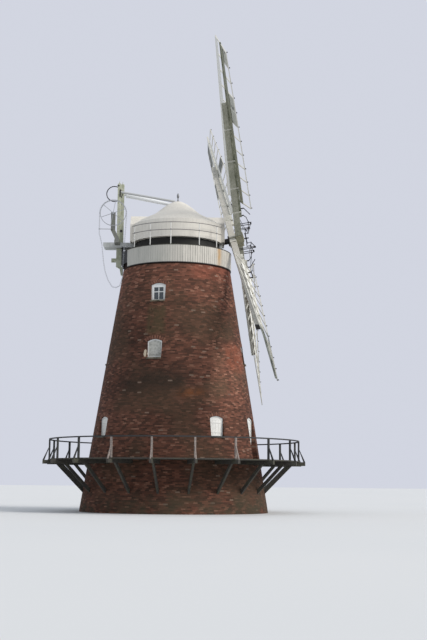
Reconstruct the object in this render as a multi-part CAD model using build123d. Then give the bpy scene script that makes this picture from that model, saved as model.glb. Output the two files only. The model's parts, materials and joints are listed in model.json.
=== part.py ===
from build123d import *
import math
import os

os.makedirs("parts", exist_ok=True)

# A brick tower windmill with a round stage, a turning cap and four double patent sails.
# Millimetres, +Z up, origin on the tower's axis at ground level, windshaft in the XZ plane towards +X.
# Angles are degrees round the tower from +X, anticlockwise seen from above.

# Fits between pieces
seat_gap = 0.3
running_gap = 0.3

# Brick tower
wall_foot_radius = 5057
wall_top_radius = 2852.6
wall_thickness = 500
wall_height = 13620
wall_segments = 8
first_wall_joint = 7

# Floors
ground_floor_thickness = 150
floor_thickness = 120
stage_height = 2750
second_floor_height = 7050
third_floor_height = 10150

# Windows: each row has a sill height, a height to the crown, and the angles of its openings
window_width = 790
window_rise = 110
sill_thickness = 80
sill_reach = 45
frame_bar = 60
frame_depth = 100
window_reveal = 50
panel_thickness = 40
panel_setback = 20
glass_thickness = 6
glass_setback = 40
glazing_bar_width = 40
glazing_bar_depth = 28
stage_sill = 3920
stage_window_height = 1020
stage_window_angles = (-59.1, 30.9, 120.9, -149.1)
middle_sill = 7940
middle_window_height = 960
middle_window_angles = (-106.7, -9, 83.3, 173.3)
top_sill = 11010
top_window_height = 920
top_window_angles = (-106.8, 73.2)

# Doors
door_width = 900
door_height = 2250
door_rise = 110
rebate_rise = 60
door_reveal = 60
door_leaf_thickness = 45
door_frame_bar = 70
door_frame_depth = 140
door_stop = 20
door_gap = 6
stage_door_angle = -20
ground_door_angle = 160
hinge_pin_radius = 9
hinge_eye_radius = 18
hinge_eye_height = 60
hinge_foot_height = 20
hinge_offset = 24
hinge_strap_length = 620
hinge_strap_thickness = 8
hinge_heights = (420, 1780)

# Stage round the tower
deck_radius = 6750
deck_thickness = 60
joist_count = 20
first_joist = -80.5
joist_width = 120
joist_depth = 200
joist_reach = 300
strut_width = 110
strut_depth = 150
strut_foot_height = 1000
strut_head_inset = 400
rail_inset = 53
rail_height = 1070
rail_section = 65
rail_post_width = 90
brace_width = 50
brace_head_cut = 91
brace_foot_cut = 105
brace_height = 600

# Curb, and the ring and gallery floor that turn on it
curb_height = 120
curb_width = 490
cap_ring_lip = 10
cap_ring_inner_lip = 30
cap_ring_depth = 270
gallery_floor_thickness = 40
gallery_floor_lip = 40
curb_top = wall_height + curb_height
cap_ring_outer_radius = wall_top_radius + cap_ring_lip
cap_ring_inner_radius = wall_top_radius - curb_width - cap_ring_inner_lip
cap_ring_top = curb_top + cap_ring_depth
gallery_floor_top = cap_ring_top + gallery_floor_thickness

# Boarded skirt under the gallery, open at the rear where the tarred winding case stands
skirt_drop = 980
skirt_clearance = 15
skirt_thickness = 28
skirt_end_angle = 153.8
skirt_bottom = gallery_floor_top - skirt_drop
case_lift = 260
case_half_width = 620
case_reach = 3040
gallery_overhang = 7

# Cap: a low drum under overhanging eaves, a drum above them and a dome
recess_inset = 28
recess_thickness = 60
recess_height = 520
eave_reach = 190
cap_wall_height = 980
cap_wall_thickness = 60
dome_shape = ((0.863, 230), (0.686, 480), (0.51, 725), (0.353, 1055), (0.22, 1305), (0.102, 1470))
dome_rise = 1530
dome_thickness = 60
dome_drop = 69
dome_foot_line = (-0.9, 0, 0.45)
dome_crown_line = (-1, 0, 0.12)
recess_radius = cap_ring_inner_radius + recess_inset
cap_wall_radius = recess_radius + eave_reach
eave_height = gallery_floor_top + recess_height
dome_foot_height = eave_height + cap_wall_height
dome_top_height = dome_foot_height + dome_rise

# Houses over the windshaft and at the rear of the cap, with heights above the foot of the dome
house_thickness = 50
house_roof_drop = 70
house_eave_drop = 20
house_inner_end = 600
front_house_reach = 50
front_house_half_width = 820
front_house_eave = 100
front_house_ridge = 640
rear_house_reach = 40
rear_house_half_width = 700
rear_house_eave = 50
rear_house_ridge = 650

# Finial: radius and height of each turn of its outline
finial_turns = ((70, 0), (60, 30), (28, 70), (28, 170), (62, 240), (66, 310), (44, 400), (0, 490))

# Beams that run through the cap and carry the rear stage
beam_spacing = 600
beam_width = 200
beam_depth = 270
beam_lift = 300
beam_rear_end = -4075
beam_front_end = 2480
beam_nose = 110
beam_bottom = gallery_floor_top + beam_lift
beam_top = beam_bottom + beam_depth
block_length = 250
front_block_x = 2355
rear_block_x = -2575
cross_beam_width = 300
weather_beam_x = 2050
weather_beam_rise = 350
tail_beam_x = -200
tail_beam_drop = 300
rear_beam_x = -3170

# Windshaft and sails
shaft_lift = 253
shaft_height = gallery_floor_top + shaft_lift
shaft_incline = 10.84
shaft_hub_distance = 3310
shaft_radius = 160
shaft_way_gap = 40
tail_start = 60
tail_radius = 90
tail_length = 390
flange_radius = 290
flange_thickness = 50
poll_back = 380
poll_front = 455
poll_width = 700
sail_rest_angle = 46.53
outer_stock_half_length = 8450
inner_stock_half_length = 7900
stock_depth = 340
stock_width = 300
stock_tip_depth = 240
stock_tip_width = 220
stock_middle = 600
whip_depth = 130
whip_width = 150
whip_tip_depth = 80
whip_tip_width = 100
whip_inner_end = 1500
whip_outer_end = 11790
bar_count = 12
first_bar = 2500
last_bar = 11700
sail_half_width = 1050
heel_weather = 27
tip_weather = 6
bar_width = 60
bar_depth = 40
uplong_width = 45

# Shutters that are left in the sails: for each sail, the bays on its leading and trailing side
shutters_per_bay = 3
shutter_thickness = 14
shutter_side_gap = 12
leading_shutters = ((7, 8, 11), (6,), (), (8, 9, 10))
trailing_shutters = ((), (5, 6, 9, 10, 11), (), (11,))

# Striking gear on the sails, with places along the shaft and out from it
gear_pin_radius = 12
gear_eye_radius = 26
gear_bar = 36
gear_plate = 20
spider_plane = 570
spider_reach = 520
spider_hub_radius = 75
striking_rod_radius = 32
striking_rod_end = 720
bracket_places = (890, 1010)
bracket_reach = 430
bracket_end = 75
triangle_foot = (768, 500)
outer_elbow = (785, 1065)
short_rod = ((710, 1346), (560, 1530))
heel_lever = ((620, 1990), (930, 1520))
inner_elbow = (660, 1065)
long_rod_end = (400, 3150)
long_rod_spacing = 80
long_rod_width = 22
long_lever = (3110, 3730)
lug_width = 50

# Rear stage gear
fan_post_width = 180
fan_post_x = -3250
fan_post_top = 3910
far_post_shift = 140
far_post_rise = 120
fan_spike = 170
fan_spike_radius = 30
fan_spike_tip = 5
fan_ring_x = -3531
fan_ring_height = 3367
fan_ring_radius = 428
fan_ring_wire = 26
stay_lift = 3460
near_stay_radius = 62
near_stay_foot = (-150, -130, 2990)
far_stay_radius = 145
far_stay_foot_radius = 85
far_stay_foot = (-300, 130, 2850)
stay_neck_length = 150
stay_neck_radius = 58
stay_hoop_radius = 165
stay_hoop_width = 40
winding_post_width = 220
winding_post_back = -3370
winding_post_front = -3080
winding_tip_drop = 470
winding_tongue = 110
winding_throat = 55
winding_stub_radius = 115
winding_stub_reach = 265
winding_stub_lift = -362
wheel_plane = -1250
wheel_x = -3500
wheel_lift = 2030
wheel_radius = 700
wheel_rim = 30
wheel_face = 50
wheel_spokes = 6
first_spoke = 20
spoke_width = 26
wheel_hub_radius = 60
wheel_hub_length = 90
axle_radius = 25
axle_end_length = 30
wheel_post_width = 235
wheel_post_depth = 140
wheel_post_plane = -1100
wheel_post_head = 60
crank_lift = 1100
crank_foot_x = -3284
crank_foot_lift = 650
outrigger_depth = 150
outrigger_width = 270
chain_radius = 12
chain_gap = 6
chain_bend = 60
chain_points = (
    (-2900, -650),
    (-2930, -1550),
    (-3060, -1990),
    (-3250, -2090),
    (-3470, -2060),
    (-3720, -1650),
    (-3880, -1160),
    (-3970, -670),
    (-4080, 310),
)
guide_lift = 1130
guide_rod_radius = 14
guide_eye_radius = 34
guide_thickness = 30
shackle_drop = 80
shackle_radius = 24
shackle_length = 48

# Gallery rail on the cap
gallery_rail_inset = 92
gallery_rail_height = 1200
gallery_mid_height = 800
gallery_bar = 20
gallery_post = 24
gallery_rail_start = 33
gallery_rail_end = 146
gallery_post_angles = (42.5, 65.4, 96, 119, 141.8)


def wall_radius(z):
    return wall_foot_radius - (wall_foot_radius - wall_top_radius) * z / wall_height


def inner_radius(z):
    return wall_radius(z) - wall_thickness


def put(name, *pieces):
    shape = pieces[0] if len(pieces) == 1 else Compound(children=list(pieces))
    export_step(shape, f"parts/{name}.step")


def around(shape, angle):
    return shape.rotate(Axis.Z, angle)


def box(x0, x1, y0, y1, z0, z1):
    low_corner = (Align.MIN, Align.MIN, Align.MIN)
    return Pos(x0, y0, z0) * Box(x1 - x0, y1 - y0, z1 - z0, align=low_corner)


def face_of(points):
    return make_face(Polyline(*points, close=True).edges())


def turned(points, arc=360):
    """A solid turned round the tower axis from radius and height points."""
    outline = face_of([(r, 0, z) for r, z in points])
    return revolve(outline, axis=Axis.Z, revolution_arc=arc)


def ring(inner, outer, low, high, arc=360):
    return turned(((inner, low), (outer, low), (outer, high), (inner, high)), arc)


def plate(points, y0, y1):
    """A plate with its outline in the XZ plane, from y0 to y1."""
    outline = face_of([(x, y0, z) for x, z in points])
    return extrude(outline, amount=y1 - y0, dir=(0, 1, 0))


def prism(points, x0, x1):
    """A prism along X with its outline in the YZ plane."""
    outline = face_of([(x0, y, z) for y, z in points])
    return extrude(outline, amount=x1 - x0, dir=(1, 0, 0))


def arch_prism(x0, x1, width, sill, height, rise):
    """A prism along X with upright sides and a low arched head."""
    half = width / 2
    spring = sill + height - rise
    left, right = (x0, -half, sill), (x0, half, sill)
    left_spring, right_spring = (x0, -half, spring), (x0, half, spring)
    crown = (x0, 0, sill + height)
    edges = Line(left, right) + Line(right, right_spring)
    edges += ThreePointArc(right_spring, crown, left_spring) + Line(left_spring, left)
    return extrude(make_face(edges.edges()), amount=x1 - x0, dir=(1, 0, 0))


def beam_between(start, end, width, depth):
    """A square-edged bar from one point to another."""
    line = Vector(*end) - Vector(*start)
    plane = Plane(origin=start, z_dir=line)
    return extrude(plane * Rectangle(width, depth), amount=line.length)


def rod_between(start, end, radius):
    line = Vector(*end) - Vector(*start)
    plane = Plane(origin=start, z_dir=line)
    return extrude(plane * Circle(radius), amount=line.length)


def rod_along_x(x0, x1, radius, y=0, z=0):
    return rod_between((x0, y, z), (x1, y, z), radius)


def rod_along_y(y0, y1, radius, x=0, z=0):
    return rod_between((x, y0, z), (x, y1, z), radius)


def window_rows():
    return (
        (stage_window_angles, stage_sill, stage_window_height),
        (middle_window_angles, middle_sill, middle_window_height),
        (top_window_angles, top_sill, top_window_height),
    )


def wall_cutters():
    """Every opening through the brick wall, turned to its place."""
    reach = wall_foot_radius + wall_thickness
    for angles, sill, height in window_rows():
        low = sill - sill_thickness
        opening = arch_prism(0, reach, window_width, low, height + sill_thickness, window_rise)
        for angle in angles:
            yield around(opening, angle)
    for angle, floor in ((stage_door_angle, stage_height), (ground_door_angle, ground_floor_thickness)):
        yield around(arch_prism(0, reach, door_width, floor, door_height, door_rise), angle)


def tower_walls():
    arc = 360 / wall_segments
    profile = (
        (inner_radius(0), 0),
        (wall_radius(0), 0),
        (wall_radius(wall_height), wall_height),
        (inner_radius(wall_height), wall_height),
    )
    segment = turned(profile, arc)
    cutters = list(wall_cutters())
    for number in range(wall_segments):
        piece = around(segment, first_wall_joint + arc * number)
        for cutter in cutters:
            piece = piece - cutter
        put(f"tower_wall_{number + 1}", piece)


def floor_disc(top, thickness):
    lower = inner_radius(top - thickness) - seat_gap
    upper = inner_radius(top) - seat_gap
    return turned(((0, top - thickness), (lower, top - thickness), (upper, top), (0, top)))


def floors():
    put("ground_floor", floor_disc(ground_floor_thickness, ground_floor_thickness))
    put("first_floor", floor_disc(stage_height, floor_thickness))
    put("second_floor", floor_disc(second_floor_height, floor_thickness))
    put("third_floor", floor_disc(third_floor_height, floor_thickness))


def frame_face_radius(sill, height):
    """Distance of a window frame's outer face from the tower axis."""
    return wall_radius(sill + height) - window_reveal


def window_frame(sill, height):
    outer = frame_face_radius(sill, height)
    width = window_width - 2 * seat_gap
    whole = arch_prism(outer - frame_depth, outer, width, sill, height - seat_gap, window_rise)
    inside = window_width - 2 * frame_bar
    hole = arch_prism(0, wall_foot_radius, inside, sill + frame_bar, height - 2 * frame_bar, window_rise)
    return whole - hole


def casement(sill, height):
    """A window frame with an upright and a cross bar in front of its glass."""
    front = frame_face_radius(sill, height) - (glass_setback - glazing_bar_depth) / 2
    back = front - glazing_bar_depth
    half, reach = glazing_bar_width / 2, window_width / 2 - frame_bar
    middle = sill + height / 2
    upright = box(back, front, -half, half, sill + frame_bar, sill + height - frame_bar)
    cross = box(back, front, -reach, reach, middle - half, middle + half)
    return window_frame(sill, height) + upright + cross


def window_sheet(sill, height, thickness, setback):
    """A board panel or a glass sheet that fills a window frame."""
    outer = frame_face_radius(sill, height) - setback
    inside = window_width - 2 * frame_bar - 2 * seat_gap
    low = sill + frame_bar
    return arch_prism(outer - thickness, outer, inside, low, height - 2 * frame_bar - seat_gap, window_rise)


def window_sill(sill):
    inner = inner_radius(sill) + seat_gap
    outer = wall_radius(sill - sill_thickness) + sill_reach
    half = window_width / 2
    return box(inner, outer, -half, half, sill - sill_thickness, sill)


def windows():
    kinds = (("stage", window_frame), ("middle", window_frame), ("top", casement))
    for (name, make_frame), (angles, sill, height) in zip(kinds, window_rows()):
        frame = make_frame(sill, height)
        put(f"{name}_window_frames", *[around(frame, a) for a in angles])
        put(f"{name}_window_sills", *[around(window_sill(sill), a) for a in angles])
    stage_panel = window_sheet(stage_sill, stage_window_height, panel_thickness, panel_setback)
    middle_panel = window_sheet(middle_sill, middle_window_height, panel_thickness, panel_setback)
    panels = [around(stage_panel, a) for a in stage_window_angles]
    panels += [around(middle_panel, a) for a in middle_window_angles]
    put("window_shutters", *panels)
    glass = window_sheet(top_sill, top_window_height, glass_thickness, glass_setback)
    put("window_glass", *[around(glass, a) for a in top_window_angles])


def door_face_radius(floor):
    """Distance of a door leaf's outer face from the tower axis."""
    return wall_radius(floor + door_height) - door_reveal - door_stop


def door_frame(floor):
    """A frame with a rebate for the leaf, whose flatter arch leaves the leaf's head room to swing."""
    outer = door_face_radius(floor) + door_stop
    width = door_width - 2 * seat_gap
    whole = arch_prism(outer - door_frame_depth, outer, width, floor, door_height - seat_gap, door_rise)
    clear = door_width - 2 * door_frame_bar
    way_height = door_height - door_frame_bar - door_stop + 1
    way = arch_prism(0, wall_foot_radius, clear - 2 * door_stop, floor - 1, way_height, door_rise)
    rebate = arch_prism(0, outer - door_stop, clear, floor - 1, way_height + door_stop, rebate_rise)
    return whole - way - rebate


def door_leaf(floor):
    outer = door_face_radius(floor) - door_gap
    width = door_width - 2 * door_frame_bar - 2 * door_gap
    height = door_height - door_frame_bar - 2 * door_gap
    return arch_prism(outer - door_leaf_thickness, outer, width, floor + door_gap, height, door_rise)


def hinge_axis(floor):
    """Place of the stage door's hinge pins before it is turned round the tower."""
    inner_face = door_face_radius(floor) - door_gap - door_leaf_thickness
    edge = door_width / 2 - door_frame_bar - door_gap
    return inner_face - hinge_offset, -edge + hinge_eye_radius


def hinged_leaf(floor):
    x, y = hinge_axis(floor)
    inner_face = x + hinge_offset
    leaf = door_leaf(floor)
    for height in hinge_heights:
        low = floor + height
        high = low + hinge_eye_height
        middle = Pos(x, y, (low + high) / 2)
        strap = box(inner_face - hinge_strap_thickness, inner_face, y, y + hinge_strap_length, low, high)
        arm = box(x, inner_face, y, y + hinge_eye_radius, low, high)
        eye = middle * Cylinder(hinge_eye_radius, hinge_eye_height)
        bore = middle * Cylinder(hinge_pin_radius + running_gap, hinge_eye_height + 2)
        leaf = leaf + strap + arm + eye - bore
    return leaf


def hinged_frame(floor):
    x, y = hinge_axis(floor)
    frame = door_frame(floor)
    jamb = -door_width / 2 + seat_gap
    for height in hinge_heights:
        top = floor + height - 1
        low = top - hinge_foot_height
        pin = Pos(x, y, top + hinge_eye_height / 2) * Cylinder(hinge_pin_radius, hinge_eye_height)
        foot = Pos(x, y, (top + low) / 2) * Cylinder(hinge_eye_radius, hinge_foot_height)
        arm = box(x - hinge_eye_radius, x + hinge_eye_radius, jamb, y, low, top)
        frame = frame + foot + arm + pin
    return frame


def doors():
    floor = stage_height
    put("stage_door_frame", around(hinged_frame(floor), stage_door_angle))
    put("stage_door", around(hinged_leaf(floor), stage_door_angle))
    ground = ground_floor_thickness
    put("ground_door_frame", around(door_frame(ground), ground_door_angle))
    width = door_width - 2 * door_frame_bar - 2 * seat_gap
    height = door_height - door_frame_bar - seat_gap
    outer = door_face_radius(ground)
    leaf = arch_prism(outer - door_leaf_thickness, outer, width, ground, height, door_rise)
    put("ground_door", around(leaf, ground_door_angle))


def joist_angles():
    return [first_joist + number * 360 / joist_count for number in range(joist_count)]


def stage_deck():
    low = stage_height - deck_thickness
    put("stage_deck", ring(wall_radius(low) + seat_gap, deck_radius, low, stage_height))


def stage_joists():
    top = stage_height - deck_thickness
    low = top - joist_depth
    inner = wall_radius(low) + seat_gap
    joist = box(inner, deck_radius + joist_reach, -joist_width / 2, joist_width / 2, low, top)
    put("stage_joists", *[around(joist, a) for a in joist_angles()])


def stage_struts():
    head = stage_height - deck_thickness - joist_depth
    head_radius = deck_radius - strut_head_inset
    foot_radius = wall_radius(strut_foot_height) + seat_gap
    run, rise = head_radius - foot_radius, head - strut_foot_height
    length = math.hypot(run, rise)
    head_run = strut_depth * length / rise
    foot_rise = strut_depth * length / run
    upper_foot = strut_foot_height + foot_rise
    outline = (
        (foot_radius, strut_foot_height),
        (head_radius, head),
        (head_radius - head_run, head),
        (wall_radius(upper_foot) + seat_gap, upper_foot),
    )
    strut = plate(outline, -strut_width / 2, strut_width / 2)
    put("stage_struts", *[around(strut, a) for a in joist_angles()])


def stage_rail():
    half = rail_section / 2
    radius = deck_radius - rail_inset
    top = stage_height + rail_height
    put("stage_rail", ring(radius - half, radius + half, top - rail_section, top))


def stage_rail_posts():
    """Posts that stand on the deck, each with a raking brace from its joist's end."""
    half = rail_post_width / 2
    radius = deck_radius - rail_inset
    top = stage_height + rail_height - rail_section
    post = box(radius - half, radius + half, -half, half, stage_height, top)
    foot = deck_radius + joist_reach
    joist_top = stage_height - deck_thickness
    head = stage_height + brace_height
    outline = (
        (radius + half, head),
        (radius + half, head - brace_head_cut),
        (foot - brace_foot_cut, joist_top),
        (foot, joist_top),
    )
    post = post + plate(outline, -brace_width / 2, brace_width / 2)
    put("stage_rail_posts", *[around(post, a) for a in joist_angles()])


def tower():
    tower_walls()
    floors()
    windows()
    doors()
    stage_deck()
    stage_joists()
    stage_struts()
    stage_rail()
    stage_rail_posts()
    put("curb", ring(wall_top_radius - curb_width, wall_top_radius, wall_height, curb_top))


def dome_fill(grow=0):
    """The dome's outer form as one solid, grown by a seat gap where pieces are cut to it."""
    radius = cap_wall_radius + grow
    points = [(radius, 0, dome_foot_height)]
    points += [(r * cap_wall_radius + grow, 0, dome_foot_height + z + grow) for r, z in dome_shape]
    crown = (0, 0, dome_top_height + grow)
    curve = Spline(*points, crown, tangents=[dome_foot_line, dome_crown_line])
    base = Line((0, 0, dome_foot_height), (radius, 0, dome_foot_height))
    side = Line(crown, (0, 0, dome_foot_height))
    return revolve(make_face((base + curve + side).edges()), axis=Axis.Z)


def dome():
    inner = Pos(0, 0, -dome_drop) * dome_fill()
    core = ring(0, cap_wall_radius - dome_thickness, dome_foot_height - 1, dome_foot_height)
    return dome_fill() - inner - core


def drum_fill(grow=0):
    return ring(0, cap_wall_radius + grow, eave_height, dome_foot_height)


def house(end, half_width, eave, ridge):
    """A small gabled house that stands out of the cap along X."""
    inner_end = math.copysign(house_inner_end, end)
    x0, x1 = min(end, inner_end), max(end, inner_end)
    outline = (
        (-half_width, beam_top),
        (half_width, beam_top),
        (half_width, eave),
        (0, ridge),
        (-half_width, eave),
    )
    inner_half = half_width - house_thickness
    inner_eave, inner_ridge = eave - house_eave_drop, ridge - house_roof_drop
    inside = (
        (-inner_half, beam_top - 1),
        (inner_half, beam_top - 1),
        (inner_half, inner_eave),
        (0, inner_ridge),
        (-inner_half, inner_eave),
    )
    wall = house_thickness
    hollow = prism(inside, x0 - 1, x1 - wall) if end > 0 else prism(inside, x0 + wall, x1 + 1)
    return prism(outline, x0, x1) - hollow - dome_fill(seat_gap) - drum_fill(seat_gap)


def on_shaft(distance):
    incline = math.radians(shaft_incline)
    return (distance * math.cos(incline), 0, shaft_height + distance * math.sin(incline))


def shaft_way(radius, start=0, end=shaft_hub_distance):
    """A round way along the windshaft, for cutting the pieces that it passes through."""
    return rod_between(on_shaft(start), on_shaft(end), radius)


def cap_shell():
    recess_inner = recess_radius - recess_thickness
    wall_inner = cap_wall_radius - cap_wall_thickness
    profile = (
        (recess_inner, gallery_floor_top),
        (recess_radius, gallery_floor_top),
        (recess_radius, eave_height),
        (cap_wall_radius, eave_height),
        (cap_wall_radius, dome_foot_height),
        (wall_inner, dome_foot_height),
        (wall_inner, eave_height + recess_thickness),
        (recess_inner, eave_height + recess_thickness),
    )
    wall = turned(profile)
    for piece in long_beams() + blocks():
        wall = wall - piece
    put("cap_wall", wall - shaft_way(shaft_radius + shaft_way_gap))
    put("cap_dome", dome())
    foot = dome_foot_height
    front_end = cap_wall_radius + front_house_reach
    front = house(front_end, front_house_half_width, foot + front_house_eave, foot + front_house_ridge)
    put("front_house", front - shaft_way(shaft_radius + shaft_way_gap))
    rear_end = -cap_wall_radius - rear_house_reach
    rear = house(rear_end, rear_house_half_width, foot + rear_house_eave, foot + rear_house_ridge)
    put("rear_house", rear)


def finial():
    low = dome_top_height + seat_gap
    put("finial", turned([(0, low)] + [(r, low + z) for r, z in finial_turns]))


def case_side(inner):
    """One raking side of the winding case, from the skirt's end to the case's rear corner."""
    turn = math.radians(skirt_end_angle)
    outer = inner + skirt_thickness
    plan = (
        (inner * math.cos(turn), inner * math.sin(turn)),
        (outer * math.cos(turn), outer * math.sin(turn)),
        (-case_reach, case_half_width),
        (-case_reach + skirt_thickness, case_half_width - skirt_thickness / 2),
    )
    low, high = skirt_bottom + case_lift, cap_ring_top
    return extrude(face_of([(x, y, low) for x, y in plan]), amount=high - low, dir=(0, 0, 1))


def skirt():
    """The skirt hangs from the gallery floor, and the case closes its gap at the rear under the beams."""
    inner = wall_radius(skirt_bottom) + skirt_clearance
    boards = ring(inner, inner + skirt_thickness, skirt_bottom, cap_ring_top, 2 * skirt_end_angle)
    side = case_side(inner)
    half = case_half_width
    low = skirt_bottom + case_lift
    back = box(-case_reach, -case_reach + skirt_thickness, -half, half, low, beam_bottom)
    case = back + side + mirror(side, about=Plane.XZ)
    put("skirt", around(boards, -skirt_end_angle), case)


def skirt_outer_radius():
    return wall_radius(skirt_bottom) + skirt_clearance + skirt_thickness


def gallery_radius():
    return skirt_outer_radius() + gallery_overhang


def gallery_floor():
    inner = cap_ring_inner_radius - gallery_floor_lip
    put("gallery_floor", ring(inner, gallery_radius(), cap_ring_top, gallery_floor_top))


def cap_ring():
    put("cap_ring", ring(cap_ring_inner_radius, cap_ring_outer_radius, curb_top + seat_gap, cap_ring_top))


def long_beams():
    """Two beams whose rear ends are rounded underneath."""
    half = beam_width / 2
    nose = beam_nose
    corner = (beam_rear_end + nose * (1 - math.sqrt(0.5)), beam_bottom + nose * (1 - math.sqrt(0.5)))
    beams = []
    for y in (-beam_spacing / 2, beam_spacing / 2):
        arc = ThreePointArc(
            (beam_rear_end, y - half, beam_bottom + nose),
            (corner[0], y - half, corner[1]),
            (beam_rear_end + nose, y - half, beam_bottom),
        )
        rest = Polyline(
            (beam_rear_end + nose, y - half, beam_bottom),
            (beam_front_end, y - half, beam_bottom),
            (beam_front_end, y - half, beam_top),
            (beam_rear_end, y - half, beam_top),
            (beam_rear_end, y - half, beam_bottom + nose),
        )
        beams.append(extrude(make_face((arc + rest).edges()), amount=beam_width, dir=(0, 1, 0)))
    return beams


def blocks():
    """Blocks on the cap ring's floor that the beams bear on."""
    half, reach = beam_width / 2, block_length / 2
    pieces = []
    for x in (front_block_x, rear_block_x):
        for y in (-beam_spacing / 2, beam_spacing / 2):
            pieces.append(box(x - reach, x + reach, y - half, y + half, gallery_floor_top, beam_bottom))
    return pieces


def cross_beam(x, low, high):
    half = (beam_spacing - beam_width) / 2
    return box(x - cross_beam_width / 2, x + cross_beam_width / 2, -half, half, low, high)


def cap_frame():
    put("cap_beams", *long_beams())
    tail_way = shaft_way(tail_radius + running_gap, -2 * tail_length, tail_start / 2)
    tail = cross_beam(tail_beam_x, beam_bottom - tail_beam_drop, beam_top) - tail_way
    neck_way = shaft_way(shaft_radius + running_gap)
    weather = cross_beam(weather_beam_x, beam_bottom, beam_top + weather_beam_rise) - neck_way
    rear = cross_beam(rear_beam_x, beam_bottom, beam_top)
    put("cap_cross_beams", tail, weather, rear, *blocks())


def gallery_rail_side(side):
    """The rails on one side of the cap, on their posts."""
    radius = gallery_radius() - gallery_rail_inset
    start = gallery_rail_start if side > 0 else -gallery_rail_end
    arc = gallery_rail_end - gallery_rail_start
    rail = None
    for height in (gallery_rail_height, gallery_mid_height):
        section = Pos(radius, 0, gallery_floor_top + height) * (Plane.XZ * Circle(gallery_bar))
        bar = around(revolve(section, axis=Axis.Z, revolution_arc=arc), start)
        rail = bar if rail is None else rail + bar
    top = gallery_floor_top + gallery_rail_height
    post = rod_between((radius, 0, gallery_floor_top), (radius, 0, top), gallery_post)
    for angle in gallery_post_angles:
        rail = rail + around(post, side * angle)
    return rail


def gallery_rail():
    put("gallery_rail", gallery_rail_side(-1), gallery_rail_side(1))


def far_post_x():
    return fan_post_x + far_post_shift


def fan_posts():
    half = fan_post_width / 2
    top = gallery_floor_top + fan_post_top
    upright = (Align.CENTER, Align.CENTER, Align.MIN)
    near = (fan_post_x, -beam_spacing / 2, top)
    far = (far_post_x(), beam_spacing / 2, top + far_post_rise)
    posts = []
    for x, y, high in (near, far):
        post = box(x - half, x + half, y - half, y + half, beam_top, high)
        spike = Pos(x, y, high) * Cone(fan_spike_radius, fan_spike_tip, fan_spike, align=upright)
        posts.append(post + spike)
    put("fan_posts", *posts)
    plane = -beam_spacing / 2 + half + fan_ring_wire
    centre = Pos(fan_ring_x, plane, gallery_floor_top + fan_ring_height)
    put("fan_ring", centre * (Rot(90, 0, 0) * Torus(fan_ring_radius, fan_ring_wire)))


def tube_from(start, line, radius, far_radius, length):
    """A round spar that tapers from one radius to another along a line."""
    end = start + line * length
    return loft([Plane(start, z_dir=line) * Circle(radius), Plane(end, z_dir=line) * Circle(far_radius)])


def fan_stays():
    """Two spars from the fan posts to the dome; the far one starts with a neck and an iron hoop."""
    half, y = fan_post_width / 2, beam_spacing / 2
    top = gallery_floor_top
    post_top = top + fan_post_top
    fill = dome_fill(seat_gap)
    foot = (near_stay_foot[0], near_stay_foot[1], top + near_stay_foot[2])
    near = rod_between((fan_post_x, -y, top + stay_lift), foot, near_stay_radius)
    back = fan_post_x - near_stay_radius
    near_side = box(back, fan_post_x + half, -y - half, -y + half, beam_top, post_top)
    start = Vector(far_post_x() + half, y, top + stay_lift)
    line = Vector(far_stay_foot[0], far_stay_foot[1], top + far_stay_foot[2]) - start
    body_length = line.length - stay_neck_length
    line = line.normalized()
    shoulder = start + line * stay_neck_length
    body = tube_from(shoulder, line, far_stay_radius, far_stay_foot_radius, body_length)
    hoop = tube_from(shoulder, line, stay_hoop_radius, stay_hoop_radius, stay_hoop_width)
    neck_start = start - line * stay_neck_radius
    neck_length = stay_neck_length + stay_neck_radius + 1
    neck = tube_from(neck_start, line, stay_neck_radius, stay_neck_radius, neck_length)
    far_side = box(start.X - half, start.X, y - half, y + half, beam_top, post_top)
    put("fan_stays", near - near_side - fill, body + hoop + neck - far_side - fill)


def winding_post():
    """The post under the rear stage, cut away at its foot to clear the tower's batter."""
    half = winding_post_width / 2
    shoulder = skirt_bottom + case_lift - seat_gap
    tip = skirt_bottom + case_lift - winding_tip_drop
    reach = -wall_radius(tip) - skirt_clearance
    middle = (winding_post_back + winding_post_front) / 2
    outline = (
        (winding_post_back, beam_bottom),
        (winding_post_front, beam_bottom),
        (winding_post_front, shoulder),
        (reach - seat_gap, shoulder - winding_throat),
        (reach - seat_gap, tip),
        (reach - winding_tongue, tip),
        (middle + winding_throat, shoulder - winding_tongue),
        (winding_post_back, shoulder),
    )
    stub_z = gallery_floor_top + winding_stub_lift
    stub_end = winding_post_back - winding_stub_reach
    stub = rod_along_x(stub_end, winding_post_back, winding_stub_radius, z=stub_z)
    put("winding_post", plate(outline, -half, half) + stub)


def wheel_post():
    """The post that carries the chain wheel, cranked out from an outrigger on the near beam."""
    half = wheel_post_width / 2
    y0 = wheel_post_plane - wheel_post_depth / 2
    y1 = wheel_post_plane + wheel_post_depth / 2
    wheel_height = gallery_floor_top + wheel_lift
    crank_top, crank_foot = gallery_floor_top + crank_lift, gallery_floor_top + crank_foot_lift
    outline = (
        (crank_foot_x - half, beam_top),
        (crank_foot_x + half, beam_top),
        (crank_foot_x + half, crank_foot),
        (wheel_x + half, crank_top),
        (wheel_x + half, wheel_height + wheel_post_head),
        (wheel_x - half, wheel_height + wheel_post_head),
        (wheel_x - half, crank_top),
        (crank_foot_x - half, crank_foot),
    )
    side = -(beam_spacing + beam_width) / 2
    arm_half = outrigger_width / 2
    arm_low = beam_top - outrigger_depth
    arm = box(crank_foot_x - arm_half, crank_foot_x + arm_half, y0, side, arm_low, beam_top)
    bore = rod_along_y(y0 - 1, y1 + 1, axle_radius + running_gap, wheel_x, wheel_height)
    put("wheel_post", plate(outline, y0, y1) + arm + chain_guide(y0) - bore)


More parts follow.
